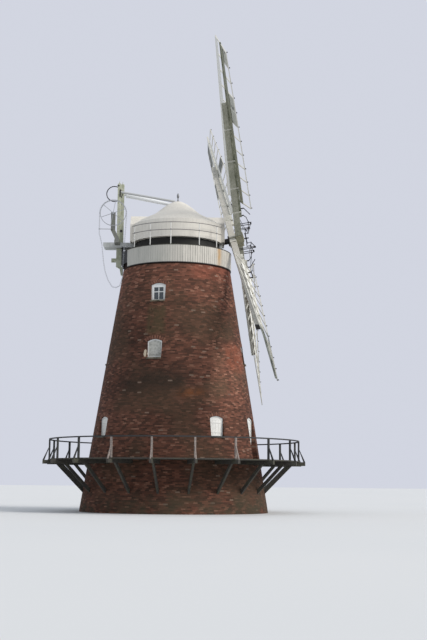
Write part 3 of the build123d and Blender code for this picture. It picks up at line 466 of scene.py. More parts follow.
def cap_finish():
    finish = Finish("cap_paint", 0.62, 0.0, 0.35)
    shade, height = paint_layers(finish, (0.67, 0.635, 0.575), (0.44, 0.41, 0.36), 0.3, 0.35)
    # Painted light: the left side, away from the lamp, is made up to 12 percent lighter
    shade = finish.times(shade, (1 - finish.x.ramp(-2.4, 0.2)) * 0.12 + 1)
    cloth = (finish.z * 11 + finish.noise(1.5, 2) * 0.2).part().ramp(0.9, 1.0)
    cloth = cloth * (1 - finish.z.ramp(15.45, 15.55))
    shade = finish.times(shade, 1 - cloth * finish.noise(2.5, 3).ramp(0.4, 0.7) * 0.16)
    shade = finish.times(shade, 1 - finish.x.ramp(0.6, 2.4) * 0.08 - finish.x.ramp(2.2, 2.55) * 0.32)
    # Painted shade: the recess below the eaves is made nearly black
    recess_shade = 1 - finish.z.ramp(eave - 0.012, eave - 0.004)
    return finish.surface(finish.mix(shade, (0.012, 0.011, 0.009), recess_shade), height + cloth * 0.3, 0.003)


# %% [markdown]
# ## Iron, glass, stone and canvas
# Each mixes two colours by noise: rust, which also dulls the iron, waves in old glass, dirt on stone and weather on
# canvas.

# %% Iron, glass, stone and canvas finishes


def iron_finish(name, colour, rusty=(0.12, 0.055, 0.03), amount=0.7, metallic=0.7):
    finish = Finish(name, 0.5, metallic)
    rust = finish.noise(7, 6, 0.65).ramp(0.52, 0.68)
    fine = finish.noise(55, 3)
    shade = finish.mix(colour, rusty, rust * amount)
    finish.set("Metallic", metallic - rust * metallic * 0.8)
    finish.set("Roughness", rust * 0.35 + 0.42)
    return finish.surface(finish.times(shade, fine * 0.6 + 0.7), fine + rust, 0.001)


def glass_finish():
    finish = Finish("window_glass", 0.08)
    wave = finish.noise(5, 2)
    finish.set("Roughness", wave * 0.1 + 0.03)
    return finish.surface(finish.mix((0.03, 0.036, 0.042), (0.1, 0.115, 0.125), wave), wave, 0.004)


def stone_finish():
    finish = Finish("stone", 0.85)
    cloud = finish.noise(3, 5)
    fine = finish.noise(45, 4)
    shade = finish.mix((0.035, 0.034, 0.022), (0.17, 0.14, 0.1), cloud.ramp(0.3, 0.7))
    return finish.surface(finish.times(shade, fine * 0.4 + 0.8), fine, 0.003)


def canvas_finish():
    """Painted canvas: a fine weave that goes both ways, greyed by weather and paler on the first sail."""
    finish = Finish("grey_canvas", 0.8)
    weave = (finish.z * 260).part() * ((finish.x + finish.y) * 260).part()
    cloud = finish.noise(2.2, 5)
    shade = finish.mix((0.09, 0.095, 0.09), (0.25, 0.255, 0.235), cloud.ramp(0.3, 0.7))
    first_sail = finish.z.ramp(16, 16.1) * (1 - finish.y.ramp(-3.1, -3.0))
    shade = finish.mix(shade, (0.46, 0.46, 0.4), first_sail * cloud.ramp(0.3, 0.45) * 0.9)
    return finish.surface(shade, weave * 0.5 + cloud, 0.002)


# %% [markdown]
# ## Finishes of the material slots
# The record says which material slot each node uses, and each slot has one finish.

# %% Slot finishes
sail_paint, sail_dirt = (0.6, 0.58, 0.52), (0.3, 0.305, 0.24)
finishes = {
    "brick": brick_finish(),
    "stone": stone_finish(),
    "white_wood": paint_finish("window_paint", (0.72, 0.73, 0.72), (0.4, 0.41, 0.37), 0.25, 0.3),
    "grey_timber": bare_timber_finish("grey_timber", (0.018, 0.016, 0.014), (0.07, 0.063, 0.054), 0.1),
    "cap_white": cap_finish(),
    "mossy_timber": bare_timber_finish("mossy_timber", (0.26, 0.27, 0.19), (0.6, 0.61, 0.5), 0.35),
    "sail_white": paint_finish("sail_paint", sail_paint, sail_dirt, 0.45, 0.5),
    "black_iron": iron_finish("black_iron", (0.028, 0.028, 0.03)),
    "grey_iron": iron_finish("grey_iron", (0.36, 0.37, 0.39), (0.2, 0.15, 0.11), 0.4, 0.2),
    "grey_canvas": canvas_finish(),
    "glass": glass_finish(),
}
print("slot finishes:", len(finishes))

# %% [markdown]
# ## Finishes of single nodes
# Some nodes look different from the rest of their slot, because weather or repair has changed them, and on some,
# such as the skirt, the stays and the stage posts, because light and shade are painted on. Most of these finishes mix
# two colours by a mask that is made from the height or from the distance across.

# %% Single finishes
shaft_incline = math.radians(-10.84)
first_sail_angle = 46.53
hub_place = move(3.2509, 0, 14.9255) @ turned(shaft_incline, "Y")
sail_turns = [math.radians(first_sail_angle - 90 * number) for number in range(4)]


def patched(name, rough, layers, other, mask, distance=0.002):
    """Weathered paint that gives way to another colour where the mask is 1. Both are functions of the finish."""
    finish, shade, height = painted(name, rough, *layers)
    return finish.surface(finish.mix(shade, other(finish), mask(finish)), height, distance)


def backbone(finish):
    """1 on the first sail's backbone, and 0 on the bars beside it."""
    turn = sail_turns[0]
    aside = finish.y * math.cos(turn) + (finish.z - hub_place.translation.z) * math.sin(turn)
    return 1 - aside.size().ramp(0.12, 0.13)


def rail_bars(finish):
    """1 on the two rails of the gallery."""
    return finish.near(14.85, 0.05, finish.z).ramp(0, 0.3) + finish.near(15.25, 0.05, finish.z).ramp(0, 0.3)


def outer_stock_finish():
    """The outer stock's upper half has gone green, while its lower half keeps more of its paint."""
    moss, dirt = (0.34, 0.335, 0.27), (0.13, 0.14, 0.09)
    finish, green, height = painted("outer_stock_paint", 0.65, moss, dirt, 0.6, 0.7)
    pale = finish.mix((0.52, 0.51, 0.45), (0.26, 0.265, 0.2), finish.noise(2.0, 5).ramp(0.4, 0.7))
    return finish.surface(finish.mix(pale, green, finish.z.ramp(13.4, 14.4)), height, 0.002)


def stay_finish():
    """The far stay keeps its fresh white paint, and the near one is the same paint darkened by painted shade."""
    finish, shade, height = painted("stay_paint", 0.55, (0.8, 0.81, 0.82), (0.55, 0.56, 0.57), 0.15, 0.2)
    # Painted shade: the near stay is the same paint made half as bright
    grey = finish.times(shade, 0.52)
    return finish.surface(finish.mix(grey, shade, finish.y.ramp(-0.05, 0.05)), height, 0.001)


def rail_post_finish():
    """Stage posts: painted light makes the front ones pale, and painted shade makes the others as dark as the rail."""
    finish = Finish("rail_post_timber", 0.85)
    grain = open_grain(finish)
    lit_pale = finish.mix((0.12, 0.1, 0.09), (0.36, 0.3, 0.27), grain.ramp(0.3, 0.7))
    dark = finish.mix((0.016, 0.018, 0.02), (0.055, 0.055, 0.052), grain.ramp(0.3, 0.7))
    # Painted light and shade: pale posts at the front, dark posts elsewhere
    return finish.surface(finish.mix(lit_pale, dark, finish.y.ramp(-5.5, -5.3)), grain, 0.003)


own_finishes = {
    "skirt": skirt_finish(),
    "outer_stock": outer_stock_finish(),
    # An iron cap on the stock's lower end
    "inner_stock": patched(
        "inner_stock_paint", 0.62, ((0.5, 0.475, 0.425), (0.28, 0.28, 0.23), 0.4, 0.5),
        lambda f: (0.03, 0.028, 0.026), lambda f: 1 - f.z.ramp(9.44, 9.46)),
    # A backbone gone green between thin bars that are still white
    "sail_frame_1": patched(
        "green_whip", 0.65, ((0.66, 0.64, 0.58), (0.34, 0.34, 0.28), 0.4, 0.4),
        lambda f: f.mix((0.3, 0.3, 0.23), (0.11, 0.12, 0.075), f.noise(2.5, 5).ramp(0.3, 0.65)), backbone),
    # White timber gone grey towards the sail's tip
    "sail_frame_4": patched(
        "last_sail_paint", 0.65, (sail_paint, sail_dirt, 0.45, 0.5),
        lambda f: f.mix((0.24, 0.25, 0.22), (0.1, 0.11, 0.09), f.noise(2.2, 4).ramp(0.4, 0.65)),
        lambda f: 1 - f.z.ramp(9.0, 9.3)),
    "cap_beams": paint_finish("pale_timber", (0.5, 0.51, 0.5), (0.26, 0.27, 0.25), 0.35, 0.5),
    "fan_stays": stay_finish(),
    "wheel_post": bare_timber_finish("post_timber", (0.1, 0.1, 0.09), (0.27, 0.27, 0.25), 0.2),
    # White posts between two rails whose paint is nearly gone
    "gallery_rail": patched(
        "gallery_rail_paint", 0.62, ((0.68, 0.67, 0.64), (0.4, 0.39, 0.36), 0.3, 0.3),
        lambda f: (0.2, 0.185, 0.175), rail_bars, 0.001),
    # The lower shutters are freshly painted; the middle ones are worn to grey boards and darkened by painted shade
    "window_shutters": patched(
        "shutter_paint", 0.6, ((0.74, 0.73, 0.7), (0.42, 0.41, 0.37), 0.25, 0.3),
        lambda f: f.mix((0.46, 0.455, 0.42), (0.27, 0.27, 0.24), f.noise(9, 5, 0.65).ramp(0.4, 0.7)),
        lambda f: f.z.ramp(6.4, 6.5)),
    "stage_rail": bare_timber_finish("rail_timber", (0.014, 0.015, 0.017), (0.045, 0.045, 0.045)),
    "stage_rail_posts": rail_post_finish(),
    "finial": iron_finish("lead", (0.16, 0.165, 0.17), (0.1, 0.1, 0.09), 0.3, 0.3),
}
print("single finishes:", len(own_finishes))

# %% [markdown]
# ## Dressing the frame's nodes
# Every node of the frame gets its own finish where it has one, and else the finish of its slot.

# %% Dress the nodes


def dress_nodes():
    """Give every node of the frame the finish of its material slot, or its own."""
    slots = {row["node"]: row["material_slot"] for row in frame["record"]["subparts"]}
    for name, node in nodes.items():
        finish = own_finishes.get(name) or finishes[slots[name]]
        node.data.materials.clear()
        node.data.materials.append(finish.material)
    print("dressed", len(slots), "nodes")


dress_nodes()

# %% [markdown]
# ## Tools for making pieces
# Every new piece starts as a primitive at its real size, is shaped in edit mode and is finished with modifiers that are
# applied at once. An operator acts on whatever is selected, so these helpers clear the selection first and then pick
# faces in code, by their place or the way they face. What repeats is modelled once. Each copy then gets its own mesh,
# moved by a matrix, and the copies are joined into one piece.

# %% Modelling helpers


def let_go():
    bpy.ops.object.select_all(action="DESELECT")


def only(piece):
    """Make one piece the active one and the only one selected."""
    let_go()
    piece.select_set(True)
    bpy.context.view_layer.objects.active = piece


def block(size, place=(0, 0, 0)):
    """A cube stretched to a size, with its middle at a place and its transform already in its mesh."""
    let_go()
    bpy.ops.mesh.primitive_cube_add(size=1, location=place)
    piece = bpy.context.object
    piece.scale = size
    bpy.ops.object.transform_apply(location=True, rotation=True, scale=True)
    return piece


def rod(radius, length, sides=16):
    let_go()
    bpy.ops.mesh.primitive_cylinder_add(vertices=sides, radius=radius, depth=length)
    return bpy.context.object


def shape(piece, *steps):
    """Run mesh operators in edit mode on the faces that are picked."""
    only(piece)
    bpy.ops.object.mode_set(mode="EDIT")
    bpy.ops.mesh.select_mode(type="FACE")
    for step in steps:
        step()
    bpy.ops.object.mode_set(mode="OBJECT")


def pick(piece, wanted):
    """Select the faces for which wanted(middle, normal) is true."""
    mesh = piece.data
    for group in (mesh.vertices, mesh.edges):
        group.foreach_set("select", [False] * len(group))
    for face in mesh.polygons:
        face.select = wanted(face.center, face.normal)


def modify(piece, kind, **settings):
    """Add a modifier and apply it at once."""
    only(piece)
    made = piece.modifiers.new(kind.lower(), kind)
    for name, value in settings.items():
        setattr(made, name, value)
    bpy.ops.object.modifier_apply(modifier=made.name)
    return piece


def rounded(piece, width, segments=1):
    return modify(piece, "BEVEL", width=width, segments=segments, limit_method="ANGLE")


def copies(piece, places):
    """Copies of a piece, each with its own mesh moved by a matrix. The piece itself goes."""
    made = []
    for place in places:
        twin = bpy.data.objects.new(piece.name, piece.data.copy())
        twin.data.transform(place)
        bpy.context.scene.collection.objects.link(twin)
        made.append(twin)
    bpy.data.objects.remove(piece)
    return made


def join(pieces, name):
    let_go()
    for piece in pieces:
        piece.select_set(True)
    bpy.context.view_layer.objects.active = pieces[0]
    if len(pieces) > 1:
        bpy.ops.object.join()
    whole = bpy.context.view_layer.objects.active
    whole.name = name
    return whole


def hand_over(piece, finish, body, replaced=()):
    """Give a finished piece its material, its body and the nodes that it stands for."""
    piece.data.materials.clear()
    piece.data.materials.append(finish.material)
    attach(piece, body)
    if replaced:
        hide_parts(*replaced)
    print(piece.name, "has", len(piece.data.polygons), "faces")


# %% [markdown]
# ## Boards of the skirt
# The skirt is a ring of narrow upright boards with small gaps that let the rain out. One board is a bevelled block, and
# each copy stands at its own bearing. The case at the rear, painted black for the shade there, has the same boards on
# straight walls: its back is taller, and its two sides run back from the ends of the ring.

# %% Skirt boards
skirt_low, skirt_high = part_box("skirt")
skirt_top = 14.01
board_radius = 2.9706
board_thickness = 0.026
board_gap = 0.006


def upright_board(width, low, high):
    piece = block((board_thickness, width - board_gap, high - low), (0, 0, (low + high) / 2))
    return rounded(piece, 0.004)


def skirt_ring():
    step = 2 * skirt_open / skirt_boards
    board = upright_board(board_radius * step, skirt_low.z, skirt_top)
    bearings = [-skirt_open + (number + 0.5) * step for number in range(skirt_boards)]
    return copies(board, [turned(bearing) @ move(board_radius, 0, 0) for bearing in bearings])


def board_wall(start, end, low, high, count):
    """Boards side by side from one point of the plan to another."""
    run = Vector(end) - Vector(start)
    board = upright_board(run.length / count, low, high)
    turn = turned(math.atan2(-run.x, run.y))
    middles = [Vector(start) + run * ((number + 0.5) / count) for number in range(count)]
    return copies(board, [move(middle.x, middle.y, 0) @ turn for middle in middles])


def winding_case():
    low = skirt_low.z + 0.26
    ring_end = (board_radius * math.cos(skirt_open), board_radius * math.sin(skirt_open))
    corner = (-3.026, 0.612)
    walls = board_wall((-3.026, -0.606), (-3.026, 0.606), low, skirt_high.z, 9)
    walls += board_wall(ring_end, corner, low, skirt_top, 6)
    return walls + board_wall((corner[0], -corner[1]), (ring_end[0], -ring_end[1]), low, skirt_top, 6)


boards = join(skirt_ring() + winding_case(), "skirt_boards")
hand_over(boards, own_finishes["skirt"], "cap", ["skirt"])

# %% [markdown]
# ## Irons on the fan post
# The near post keeps a few irons from the fan's gear: a strap down its face, a cleat above it and a short roller at the
# gallery.

# %% Post irons


def post_irons():
    strap = rounded(block((0.07, 0.03, 0.42), (-3.195, -0.405, 17.42)), 0.006)
    cleat = rounded(block((0.12, 0.05, 0.05), (-3.3, -0.41, 17.84)), 0.008)
    roller = rod(0.05, 0.16, 20)
    pick(roller, lambda middle, normal: abs(normal.z) > 0.9)
    shape(
        roller,
        lambda: bpy.ops.mesh.inset(thickness=0.015),
        lambda: bpy.ops.mesh.extrude_region_shrink_fatten(TRANSFORM_OT_shrink_fatten={"value": 0.02}),
    )
    rounded(roller, 0.004)
    roller.data.transform(move(-3.1, -0.34, 15.28) @ turned(math.pi / 2, "X"))
    return join([strap, cleat, roller], "post_irons")


hand_over(post_irons(), finishes["black_iron"], "cap")

# %% [markdown]
# ## Arches over the openings
# Each opening in the brickwork has a low arch of bricks set on end. One brick is a bevelled block. Its copies fan out
# round the arch's centre, and each one also turns with the round wall and leans with its batter.

# %% Brick arches
arch_bricks = 9
arch_brick_height = 0.215
arch_rise = 0.11
openings = [(bearing, sill + height, window_width) for row, sill, height in window_rows for bearing in row]
openings += [(bearing, floor + door_height, door_width) for bearing, floor in doors]


def arch_places(bearing, crown, width):
    """A matrix for each brick of one arch, on the wall's face."""
    circle = (width * width / 4 + arch_rise * arch_rise) / (2 * arch_rise)
    half = math.asin(width / 2 / circle) * 1.12
    for number in range(arch_bricks):
        fan = half * (2 * number / (arch_bricks - 1) - 1)
        out = circle + arch_brick_height / 2
        y, z = out * math.sin(fan), crown - circle + out * math.cos(fan)
        turn = turned(math.radians(bearing) + y / wall_radius(z))
        lean = turned(-math.atan(batter), "Y")
        yield turn @ move(wall_radius(z) - 0.045, 0, z) @ lean @ turned(-fan, "X")


def arches():
    brick = rounded(block((0.11, 0.088, arch_brick_height)), 0.005)
    places = [place for opening in openings for place in arch_places(*opening)]
    return join(copies(brick, places), "brick_arches")


def arch_finish():
    finish = Finish("arch_brick", 0.85)
    own = finish.noise(7, 2)
    grain = finish.noise(60, 4)
    shade = finish.stops(own, [(0.3, (0.06, 0.027, 0.02)), (0.5, (0.13, 0.05, 0.03)), (0.7, (0.22, 0.1, 0.06))])
    return finish.surface(finish.times(shade, grain * 0.5 + 0.75), grain, 0.004)


hand_over(arches(), arch_finish(), "tower")

# %% [markdown]
# ## Boards of the stage
# The stage's floor is boards laid across its joists, so from above it is a polygon with one side between every two
# neighbouring joists. One sector is cut from long boards by two bisecting planes, and its copies make the round.

# %% Stage boards
joist_count = 20
joist_step = math.radians(360 / joist_count)
first_joist = math.radians(-80.5)
deck_low, deck_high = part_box("stage_deck")
deck_rows = 15


def deck_sector():
    inner = wall_radius(deck_low.z) + 0.004
    outer = deck_high.x * math.cos(joist_step / 2)
    pitch = (outer - inner) / deck_rows
    thick = deck_high.z - deck_low.z
    board = rounded(block((pitch - 0.008, 2.4, thick), (0, 0, deck_low.z + thick / 2)), 0.004)
    rows = copies(board, [move(inner + (row + 0.5) * pitch, 0, 0) for row in range(deck_rows)])
    sector = join(rows, "deck_sector")
    for side in (-1, 1):
        normal = (-math.sin(joist_step / 2), side * math.cos(joist_step / 2), 0)
        pick(sector, lambda middle, normal: True)
        shape(sector, lambda: bpy.ops.mesh.bisect(
            plane_co=(0, -side * 0.002, 0), plane_no=normal, clear_outer=True, use_fill=True))
    return sector


def deck():
    turns = [turned(first_joist + (number + 0.5) * joist_step) for number in range(joist_count)]
    return join(copies(deck_sector(), turns), "deck_boards")


hand_over(deck(), finishes["grey_timber"], "tower", ["stage_deck"])

# %% [markdown]
# ## Battens on the shutters and the door
# The window shutters and the stage door are boards held by battens. The frame has their panels as plain sheets, so thin
# cover strips mark the boards, and two broad battens cross them.

# %% Battens


def battened(width, height, strips):
    """Upright strips and two battens for a panel in the YZ plane that faces +X, with its foot at the origin."""
    made = []
    for number in range(1, strips):
        y = -width / 2 + width * number / strips
        made.append(rounded(block((0.008, 0.035, height - 0.04), (0.004, y, height / 2)), 0.002))
    for share in (0.2, 0.8):
        made.append(rounded(block((0.016, width - 0.05, 0.075), (0.008, 0, height * share)), 0.004))
    return join(made, "battens")


def shutter_places():
    """A matrix for each shutter, at the foot of its face."""
    for bearings, sill, height in window_rows[:2]:
        face = wall_radius(sill + height) - 0.07
        for bearing in bearings:
            yield turned(math.radians(bearing)) @ move(face, 0, sill + 0.06)


window_battens = join(copies(battened(0.66, 0.8, 4), list(shutter_places())), "window_battens")
hand_over(window_battens, own_finishes["window_shutters"], "tower")
door_bearing, door_floor = doors[0]
door_face = wall_radius(door_floor + door_height) - 0.086
door_place = turned(math.radians(door_bearing)) @ move(door_face, 0, door_floor + 0.01)
door_battens = join(copies(battened(0.74, 2.05, 6), [door_place]), "door_battens")
hand_over(door_battens, finishes["white_wood"], "stage_door")

# %% [markdown]
# ## Linings of the top windows
# The casements of the two top windows stand in wide white linings: a board up each side and a panel under the arch.

# %% Window linings
lining_thickness = 0.012


def window_lining():
    """A lining in the YZ plane that faces +X, with the middle of its foot at the origin."""
    sides = [block((lining_thickness, 0.09, 0.84), (0, y, 0.42)) for y in (-0.3, 0.3)]
    panel = block((lining_thickness, 0.51, 0.15), (0, 0, 0.765))
    return join([rounded(piece, 0.003) for piece in sides + [panel]], "window_linings")


top_bearings, top_sill, top_height = window_rows[2]
lining_place = move(wall_radius(top_sill + top_height) - 0.055, 0, top_sill + 0.01)
lining_places = [turned(math.radians(bearing)) @ lining_place for bearing in top_bearings]
window_linings = join(copies(window_lining(), lining_places), "window_linings")
hand_over(window_linings, finishes["white_wood"], "tower")

# %% [markdown]
# ## Where a sail is
# The sails lean with the windshaft, and each one is twisted: its heel meets the wind at 27 degrees and its tip at 6. A
# piece for a sail is modelled flat, with Y across the sail and Z out along it, and then each of its points is moved to
# the twisted sail.

# %% Sail places
stock_offset = 0.17
whip_inner_end, whip_length = 1.5, 10.29
bar_count, first_bar, bar_span = 12, 2.5, 9.2
heel_weather, tip_weather = 27, 6


def stock_place(number):
    return stock_offset if number % 2 == 0 else -stock_offset


def sail_place(number):
    return hub_place @ turned(sail_turns[number], "X") @ move(stock_place(number), 0, 0)


def whip_front(place):
    return 0.3 - 0.05 * (place - whip_inner_end) / whip_length


def weather(place):
    return math.radians(heel_weather - (heel_weather - tip_weather) * (place - first_bar) / bar_span)


def bar_place(number):
    return first_bar + number * bar_span / (bar_count - 1)


def leading_bars(number):
    return bar_count if number % 2 == 0 else bar_count - 1


def on_sail(place, across, forward=0.0):
    """A matrix from a spot of the sail to the sail's own frame, turned with the twist."""
    turn = turned(weather(place))
    return move(whip_front(place) - 0.02, 0, place) @ turn @ move(forward, across, 0)


def twist(piece, number):
    """Move a flat piece's points to the twisted sail."""
    whole = sail_place(number)
    for vertex in piece.data.vertices:
        forward, across, place = vertex.co
        vertex.co = whole @ on_sail(place, across, forward).translation
    return piece


# %% [markdown]
# ## Boards and knobs of the sails
# A narrow board runs along each side of a sail's backbone, behind the bars. The first sail's two are unlike the rest:
# the leading one is green with growth, and the trailing one is wider and stands further out. A board is one long block,
# cut across at each bar so that it can follow the twist. A turned knob stands on the front of each leading bar, where
# the rod that worked the shutters was guided.

# %% Sail boards and knobs
sail_board_thickness = 0.01


def sail_board(number, inner, outer, bars):
    """A board from one distance across the sail to another."""
    low, high = bar_place(0) - 0.03, bar_place(bars - 1) + 0.03
    size = (sail_board_thickness, abs(outer - inner), high - low)
    board = block(size, (-0.026, (inner + outer) / 2, (low + high) / 2))
    for bar in range(1, bars - 1):
        pick(board, lambda middle, normal: True)
        shape(board, lambda: bpy.ops.mesh.bisect(plane_co=(0, 0, bar_place(bar)), plane_no=(0, 0, 1)))
    rounded(board, 0.003)
    return twist(board, number)


def sail_boards():
    boards = []
    for number in (1, 2, 3):
        boards.append(sail_board(number, -0.36, -0.11, leading_bars(number)))
        boards.append(sail_board(number, 0.11, 0.36, bar_count))
    boards.append(sail_board(0, 0.55, 0.97, bar_count))
    return join(boards, "sail_boards")


def knob():
    """A disc on a short neck, which points along X."""
    piece = rod(0.034, 0.03, 12)
    pick(piece, lambda middle, normal: normal.z < -0.9)
    shape(
        piece,
        lambda: bpy.ops.mesh.inset(thickness=0.018),
        lambda: bpy.ops.mesh.extrude_region_move(TRANSFORM_OT_translate={"value": (0, 0, -0.03)}),
    )
    piece.data.transform(turned(math.pi / 2, "Y"))
    return rounded(piece, 0.004)


def knobs():
    places = []
    for number in range(4):
        for bar in range(leading_bars(number)):
            places.append(sail_place(number) @ on_sail(bar_place(bar), -1.03, 0.065))
    return join(copies(knob(), places), "sail_knobs")


# The boards are greyed towards the tip of the fourth sail
board_finish = patched(
    "sail_board_paint", 0.62, ((0.74, 0.73, 0.69), (0.5, 0.5, 0.44), 0.3, 0.3),
    lambda f: f.mix((0.22, 0.23, 0.2), (0.12, 0.13, 0.11), f.noise(2.5, 4).ramp(0.4, 0.6)),
    lambda f: (1 - f.z.ramp(9.1, 9.5)) * (1 - f.y.ramp(-4.9, -4.7)))
hand_over(sail_boards(), board_finish, "sails")
green_board = sail_board(0, -0.4, -0.11, leading_bars(0))
green_board.name = "green_sail_board"
green_finish = paint_finish("green_board_paint", (0.27, 0.27, 0.2), (0.1, 0.11, 0.07), 0.6, 0.7)
hand_over(green_board, green_finish, "sails")
hand_over(knobs(), finishes["black_iron"], "sails")

# %% [markdown]
# ## Frames of the shutters
# Each shutter that is left is canvas on a wooden frame. The frame of solids has it as a plain panel, so a thin
# rectangular frame goes on its front: a block whose front and back are inset, opened and bridged.

# %% Shutter frames
leading_bays = ((7, 8, 11), (6,), (), (8, 9, 10))
trailing_bays = ((), (5, 6, 9, 10, 11), (), (11,))
vanes_per_bay = 3
bar_room = 0.0603
vane_pitch = (bar_span / (bar_count - 1) - bar_room) / vanes_per_bay
vane_width = 0.9285
vane_middle = 0.55125


def open_frame(size, bar):
    """A flat frame in the YZ plane: both broad faces are inset, taken out and joined through."""
    piece = block(size)
    pick(piece, lambda middle, normal: abs(normal.x) > 0.9)
    shape(
        piece,
        lambda: bpy.ops.mesh.inset(thickness=bar),
        lambda: bpy.ops.mesh.delete(type="FACE"),
        lambda: bpy.ops.mesh.select_mode(type="EDGE"),
        lambda: bpy.ops.mesh.select_non_manifold(),
        lambda: bpy.ops.mesh.bridge_edge_loops(),
    )
    return rounded(piece, 0.002)


def vane_places():
    for number in range(4):
        for side, bays in ((-1, leading_bays[number]), (1, trailing_bays[number])):
            for bay in bays:
                low = bar_place(bay - 1) + 0.0303
                for vane in range(vanes_per_bay):
                    foot = low + vane * vane_pitch
                    turn = turned(weather(foot + vane_pitch / 2))
                    base = move(whip_front(foot) - 0.02, 0, foot) @ turn
                    yield sail_place(number) @ base @ move(0.013, side * vane_middle, vane_pitch / 2)


vane_frame = open_frame((0.012, vane_width - 0.004, vane_pitch - 0.004), 0.028)
vane_frames = join(copies(vane_frame, list(vane_places())), "shutter_frames")
hand_over(vane_frames, finishes["sail_white"], "sails")

# %% [markdown]
# ## Clamps on the stocks
# Iron clamps hold each sail's backbone to its stock. A clamp is a block round both timbers without its two ends, given
# its thickness by the Solidify modifier. Two bolts stand on each of its sides.

# %% Stock clamps
clamp_height = 0.1
clamp_places = (1.89, 3.42, 5.11, 7.0)
stock_middle = 0.6
stock_lengths = (8.45, 7.9)


def clamp(number, place):
    share = (place - stock_middle) / (stock_lengths[number % 2] - stock_middle)
    back, half = -0.17 + 0.1 * share, 0.15 - 0.04 * share
    deep = whip_front(place) - back + 0.016
    piece = block((deep, 2 * half + 0.016, clamp_height))
    pick(piece, lambda middle, normal: abs(normal.z) > 0.9)
    shape(piece, lambda: bpy.ops.mesh.delete(type="FACE"))
    modify(piece, "SOLIDIFY", thickness=0.007, offset=-1)
    bolt = rounded(rod(0.022, 0.05, 6), 0.004)
    bolt.data.transform(turned(math.pi / 2, "X"))
    spots = [move(x, side * (half + 0.02), 0) for x in (-deep / 4, deep / 4) for side in (-1, 1)]
    bolts = copies(bolt, spots)
    piece = join([piece] + bolts, "clamp")
    piece.data.transform(sail_place(number) @ move(back + deep / 2 - 0.008, 0, place))
    return piece


clamps = join([clamp(number, place) for number in range(4) for place in clamp_places], "stock_clamps")
clamp_finish = paint_finish("clamp_paint", (0.5, 0.49, 0.43), (0.24, 0.23, 0.18), 0.4, 0.4)
hand_over(clamps, clamp_finish, "sails")

# %% [markdown]
# ## The poll end
# The iron casting on the end of the windshaft is two sleeves that cross, one for each stock, with a round boss in
# front. The frame has it as one block. Here each sleeve is a block with a raised lip at both ends, so the stocks can be
# seen to cross. The sleeve of the outer stock is green with growth, and the other has the sails' white paint.

# %% Poll end
sleeve_reach = 0.35
sleeve_half_width = 0.19


def sleeve(depth, middle, along_y):
    """A square sleeve along Z or Y, with a slightly wider block at each end for its lip."""
    piece = block((depth, 2 * sleeve_half_width, 2 * sleeve_reach))
    lips = [block((depth + 0.03, 2 * sleeve_half_width + 0.03, 0.05), (0, 0, side * (sleeve_reach - 0.025)))
            for side in (-1, 1)]
    for lip in lips:
        pick(lip, lambda middle, normal: abs(normal.z) > 0.9)
        shape(lip, lambda: bpy.ops.mesh.inset(thickness=0.012))
        rounded(lip, 0.006, 2)
    whole = join([rounded(piece, 0.012, 2)] + lips, "sleeve")
    if along_y:
        whole.data.transform(turned(math.pi / 2, "X"))
    whole.data.transform(hub_place @ turned(sail_turns[0], "X") @ move(middle, 0, 0))
    return whole


def poll_boss():
    piece = rod(0.2, 0.815, 32)
    pick(piece, lambda middle, normal: normal.z > 0.9)
    shape(
        piece,
        lambda: bpy.ops.mesh.inset(thickness=0.07),
        lambda: bpy.ops.mesh.extrude_region_move(TRANSFORM_OT_translate={"value": (0, 0, 0.02)}),
    )
    rounded(piece, 0.012, 2)
    piece.data.transform(hub_place @ turned(math.pi / 2, "Y") @ move(0, 0, 0.0275))
    return piece


outer_sleeve = join([sleeve(0.4, 0.2, False), poll_boss()], "outer_sleeve")
sleeve_finish = paint_finish("mossy_sail_paint", (0.26, 0.245, 0.17), (0.11, 0.115, 0.07), 0.6, 0.7)
hand_over(outer_sleeve, sleeve_finish, "sails", ["poll_end"])
inner_sleeve = sleeve(0.35, -0.195, True)
inner_sleeve.name = "inner_sleeve"
hand_over(inner_sleeve, finishes["sail_white"], "sails", ["poll_end"])

# %% [markdown]
# ## The striking chain
# The chain hangs in one long loop over the wheel. One link is a torus that is stretched in edit mode. The route is
# walked in equal steps, and every second link is turned a quarter round.

# %% Chain links
chain_plane = -1.25
wheel_middle = Vector((-3.5, chain_plane, 16.08))
chain_reach = 0.733
link_pitch = 0.062
over_steps = 24
hanging = (
    (-2.767, 16.08), (-2.9, 13.4), (-2.93, 12.5), (-3.06, 12.06), (-3.25, 11.96), (-3.47, 11.99),
    (-3.72, 12.4), (-3.88, 12.89), (-3.97, 13.38), (-4.08, 14.36), (-4.233, 14.94), (-4.233, 16.08),
)


def chain_route():
    """Points round the whole loop: over the wheel, down the front and back up at the rear."""
    over = [math.pi * (1 - step / over_steps) for step in range(over_steps)]
    points = [wheel_middle + Vector((math.cos(a), 0, math.sin(a))) * chain_reach for a in over]
    return points + [Vector((x, chain_plane, z)) for x, z in hanging]


def walk(points, pitch):
    """Places and directions at equal steps along a line of points."""
    left = 0.0
    for start, end in zip(points, points[1:]):
        run = end - start
        at = left
        while at < run.length:
            yield start + run * (at / run.length), run.normalized()
            at += pitch
        left = at - run.length


def chain():
    let_go()
    bpy.ops.mesh.primitive_torus_add(major_radius=0.026, minor_radius=0.0075, major_segments=12, minor_segments=6)
    link = bpy.context.object
    pick(link, lambda middle, normal: middle.x > 0)
    shape(link, lambda: bpy.ops.transform.translate(value=(0.012, 0, 0)))
    places = []
    for number, (spot, run) in enumerate(walk(chain_route(), link_pitch)):
        turn = run.to_track_quat("X", "Y").to_matrix().to_4x4()
        roll = turned(math.pi / 2 * (number % 2), "X")
        places.append(move(*spot) @ turn @ roll)
    return join(copies(link, places), "chain_links")


hand_over(chain(), finishes["grey_iron"], "cap", ["striking_chain"])

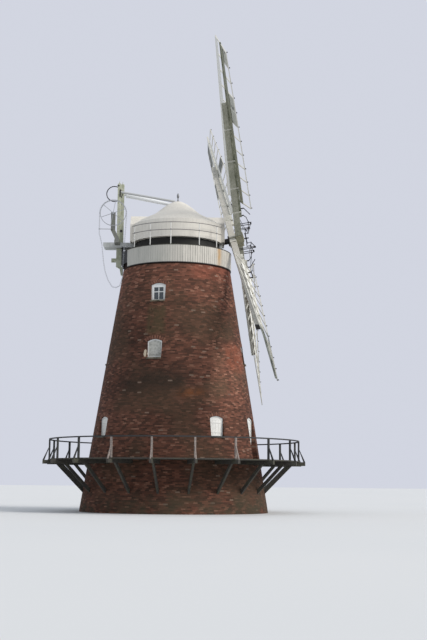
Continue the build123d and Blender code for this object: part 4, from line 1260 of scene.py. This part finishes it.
# %% [markdown]
# ## Floor, sky and lamp
# The mill stands on a plain pale floor under an even pale sky. The camera sees the sky's own colour, also in what is
# glossy or clear, while the light that fills the shadows has its own colour and strength. One far, wide lamp at the
# right is the soft sun.

# %% Surroundings
sky_colour = (0.715, 0.742, 0.835)
floor_colour = (0.62, 0.63, 0.64)


def add_floor():
    let_go()
    bpy.ops.mesh.primitive_circle_add(vertices=96, radius=400, fill_type="NGON")
    floor = bpy.context.object
    floor.name = "floor"
    finish = Finish("floor", 0.9)
    finish.set("Base Color", finish.mix(floor_colour, (0.66, 0.66, 0.66), finish.noise(0.05, 2)))
    floor.data.materials.append(finish.material)


def add_sky():
    world = bpy.data.worlds.new("sky")
    bpy.context.scene.world = world
    world.use_nodes = True
    nodes, links = world.node_tree.nodes, world.node_tree.links
    nodes.clear()
    choose = nodes.new("ShaderNodeMixShader")
    for place, colour, strength in ((1, (0.86, 0.92, 1.0), 0.75), (2, sky_colour, 0.9)):
        light = nodes.new("ShaderNodeBackground")
        light.inputs["Color"].default_value = (*colour, 1)
        light.inputs["Strength"].default_value = strength
        links.new(light.outputs[0], choose.inputs[place])
    path = nodes.new("ShaderNodeLightPath")
    seen = path.outputs["Is Camera Ray"]
    for ray in ("Is Glossy Ray", "Is Transmission Ray"):
        either = nodes.new("ShaderNodeMath")
        either.operation = "MAXIMUM"
        links.new(seen, either.inputs[0])
        links.new(path.outputs[ray], either.inputs[1])
        seen = either.outputs[0]
    links.new(seen, choose.inputs["Fac"])
    out = nodes.new("ShaderNodeOutputWorld")
    links.new(choose.outputs[0], out.inputs["Surface"])


def add_lamp(name, bearing, height, energy, spread, colour):
    """A far lamp: its bearing round the mill from the camera's side and its height above the ground, in degrees."""
    light = bpy.data.lights.new(name, "SUN")
    light.energy = energy
    light.angle = math.radians(spread)
    light.color = colour
    lamp = bpy.data.objects.new(name, light)
    bpy.context.scene.collection.objects.link(lamp)
    turn, rise = math.radians(bearing), math.radians(height)
    away = Vector((math.sin(turn) * math.cos(rise), -math.cos(turn) * math.cos(rise), math.sin(rise)))
    lamp.rotation_mode = "QUATERNION"
    lamp.rotation_quaternion = away.to_track_quat("Z", "Y")


add_floor()
add_sky()
add_lamp("key", 62, 34, 2.6, 26, (1.0, 0.96, 0.9))
bpy.context.scene.view_settings.view_transform = "Standard"
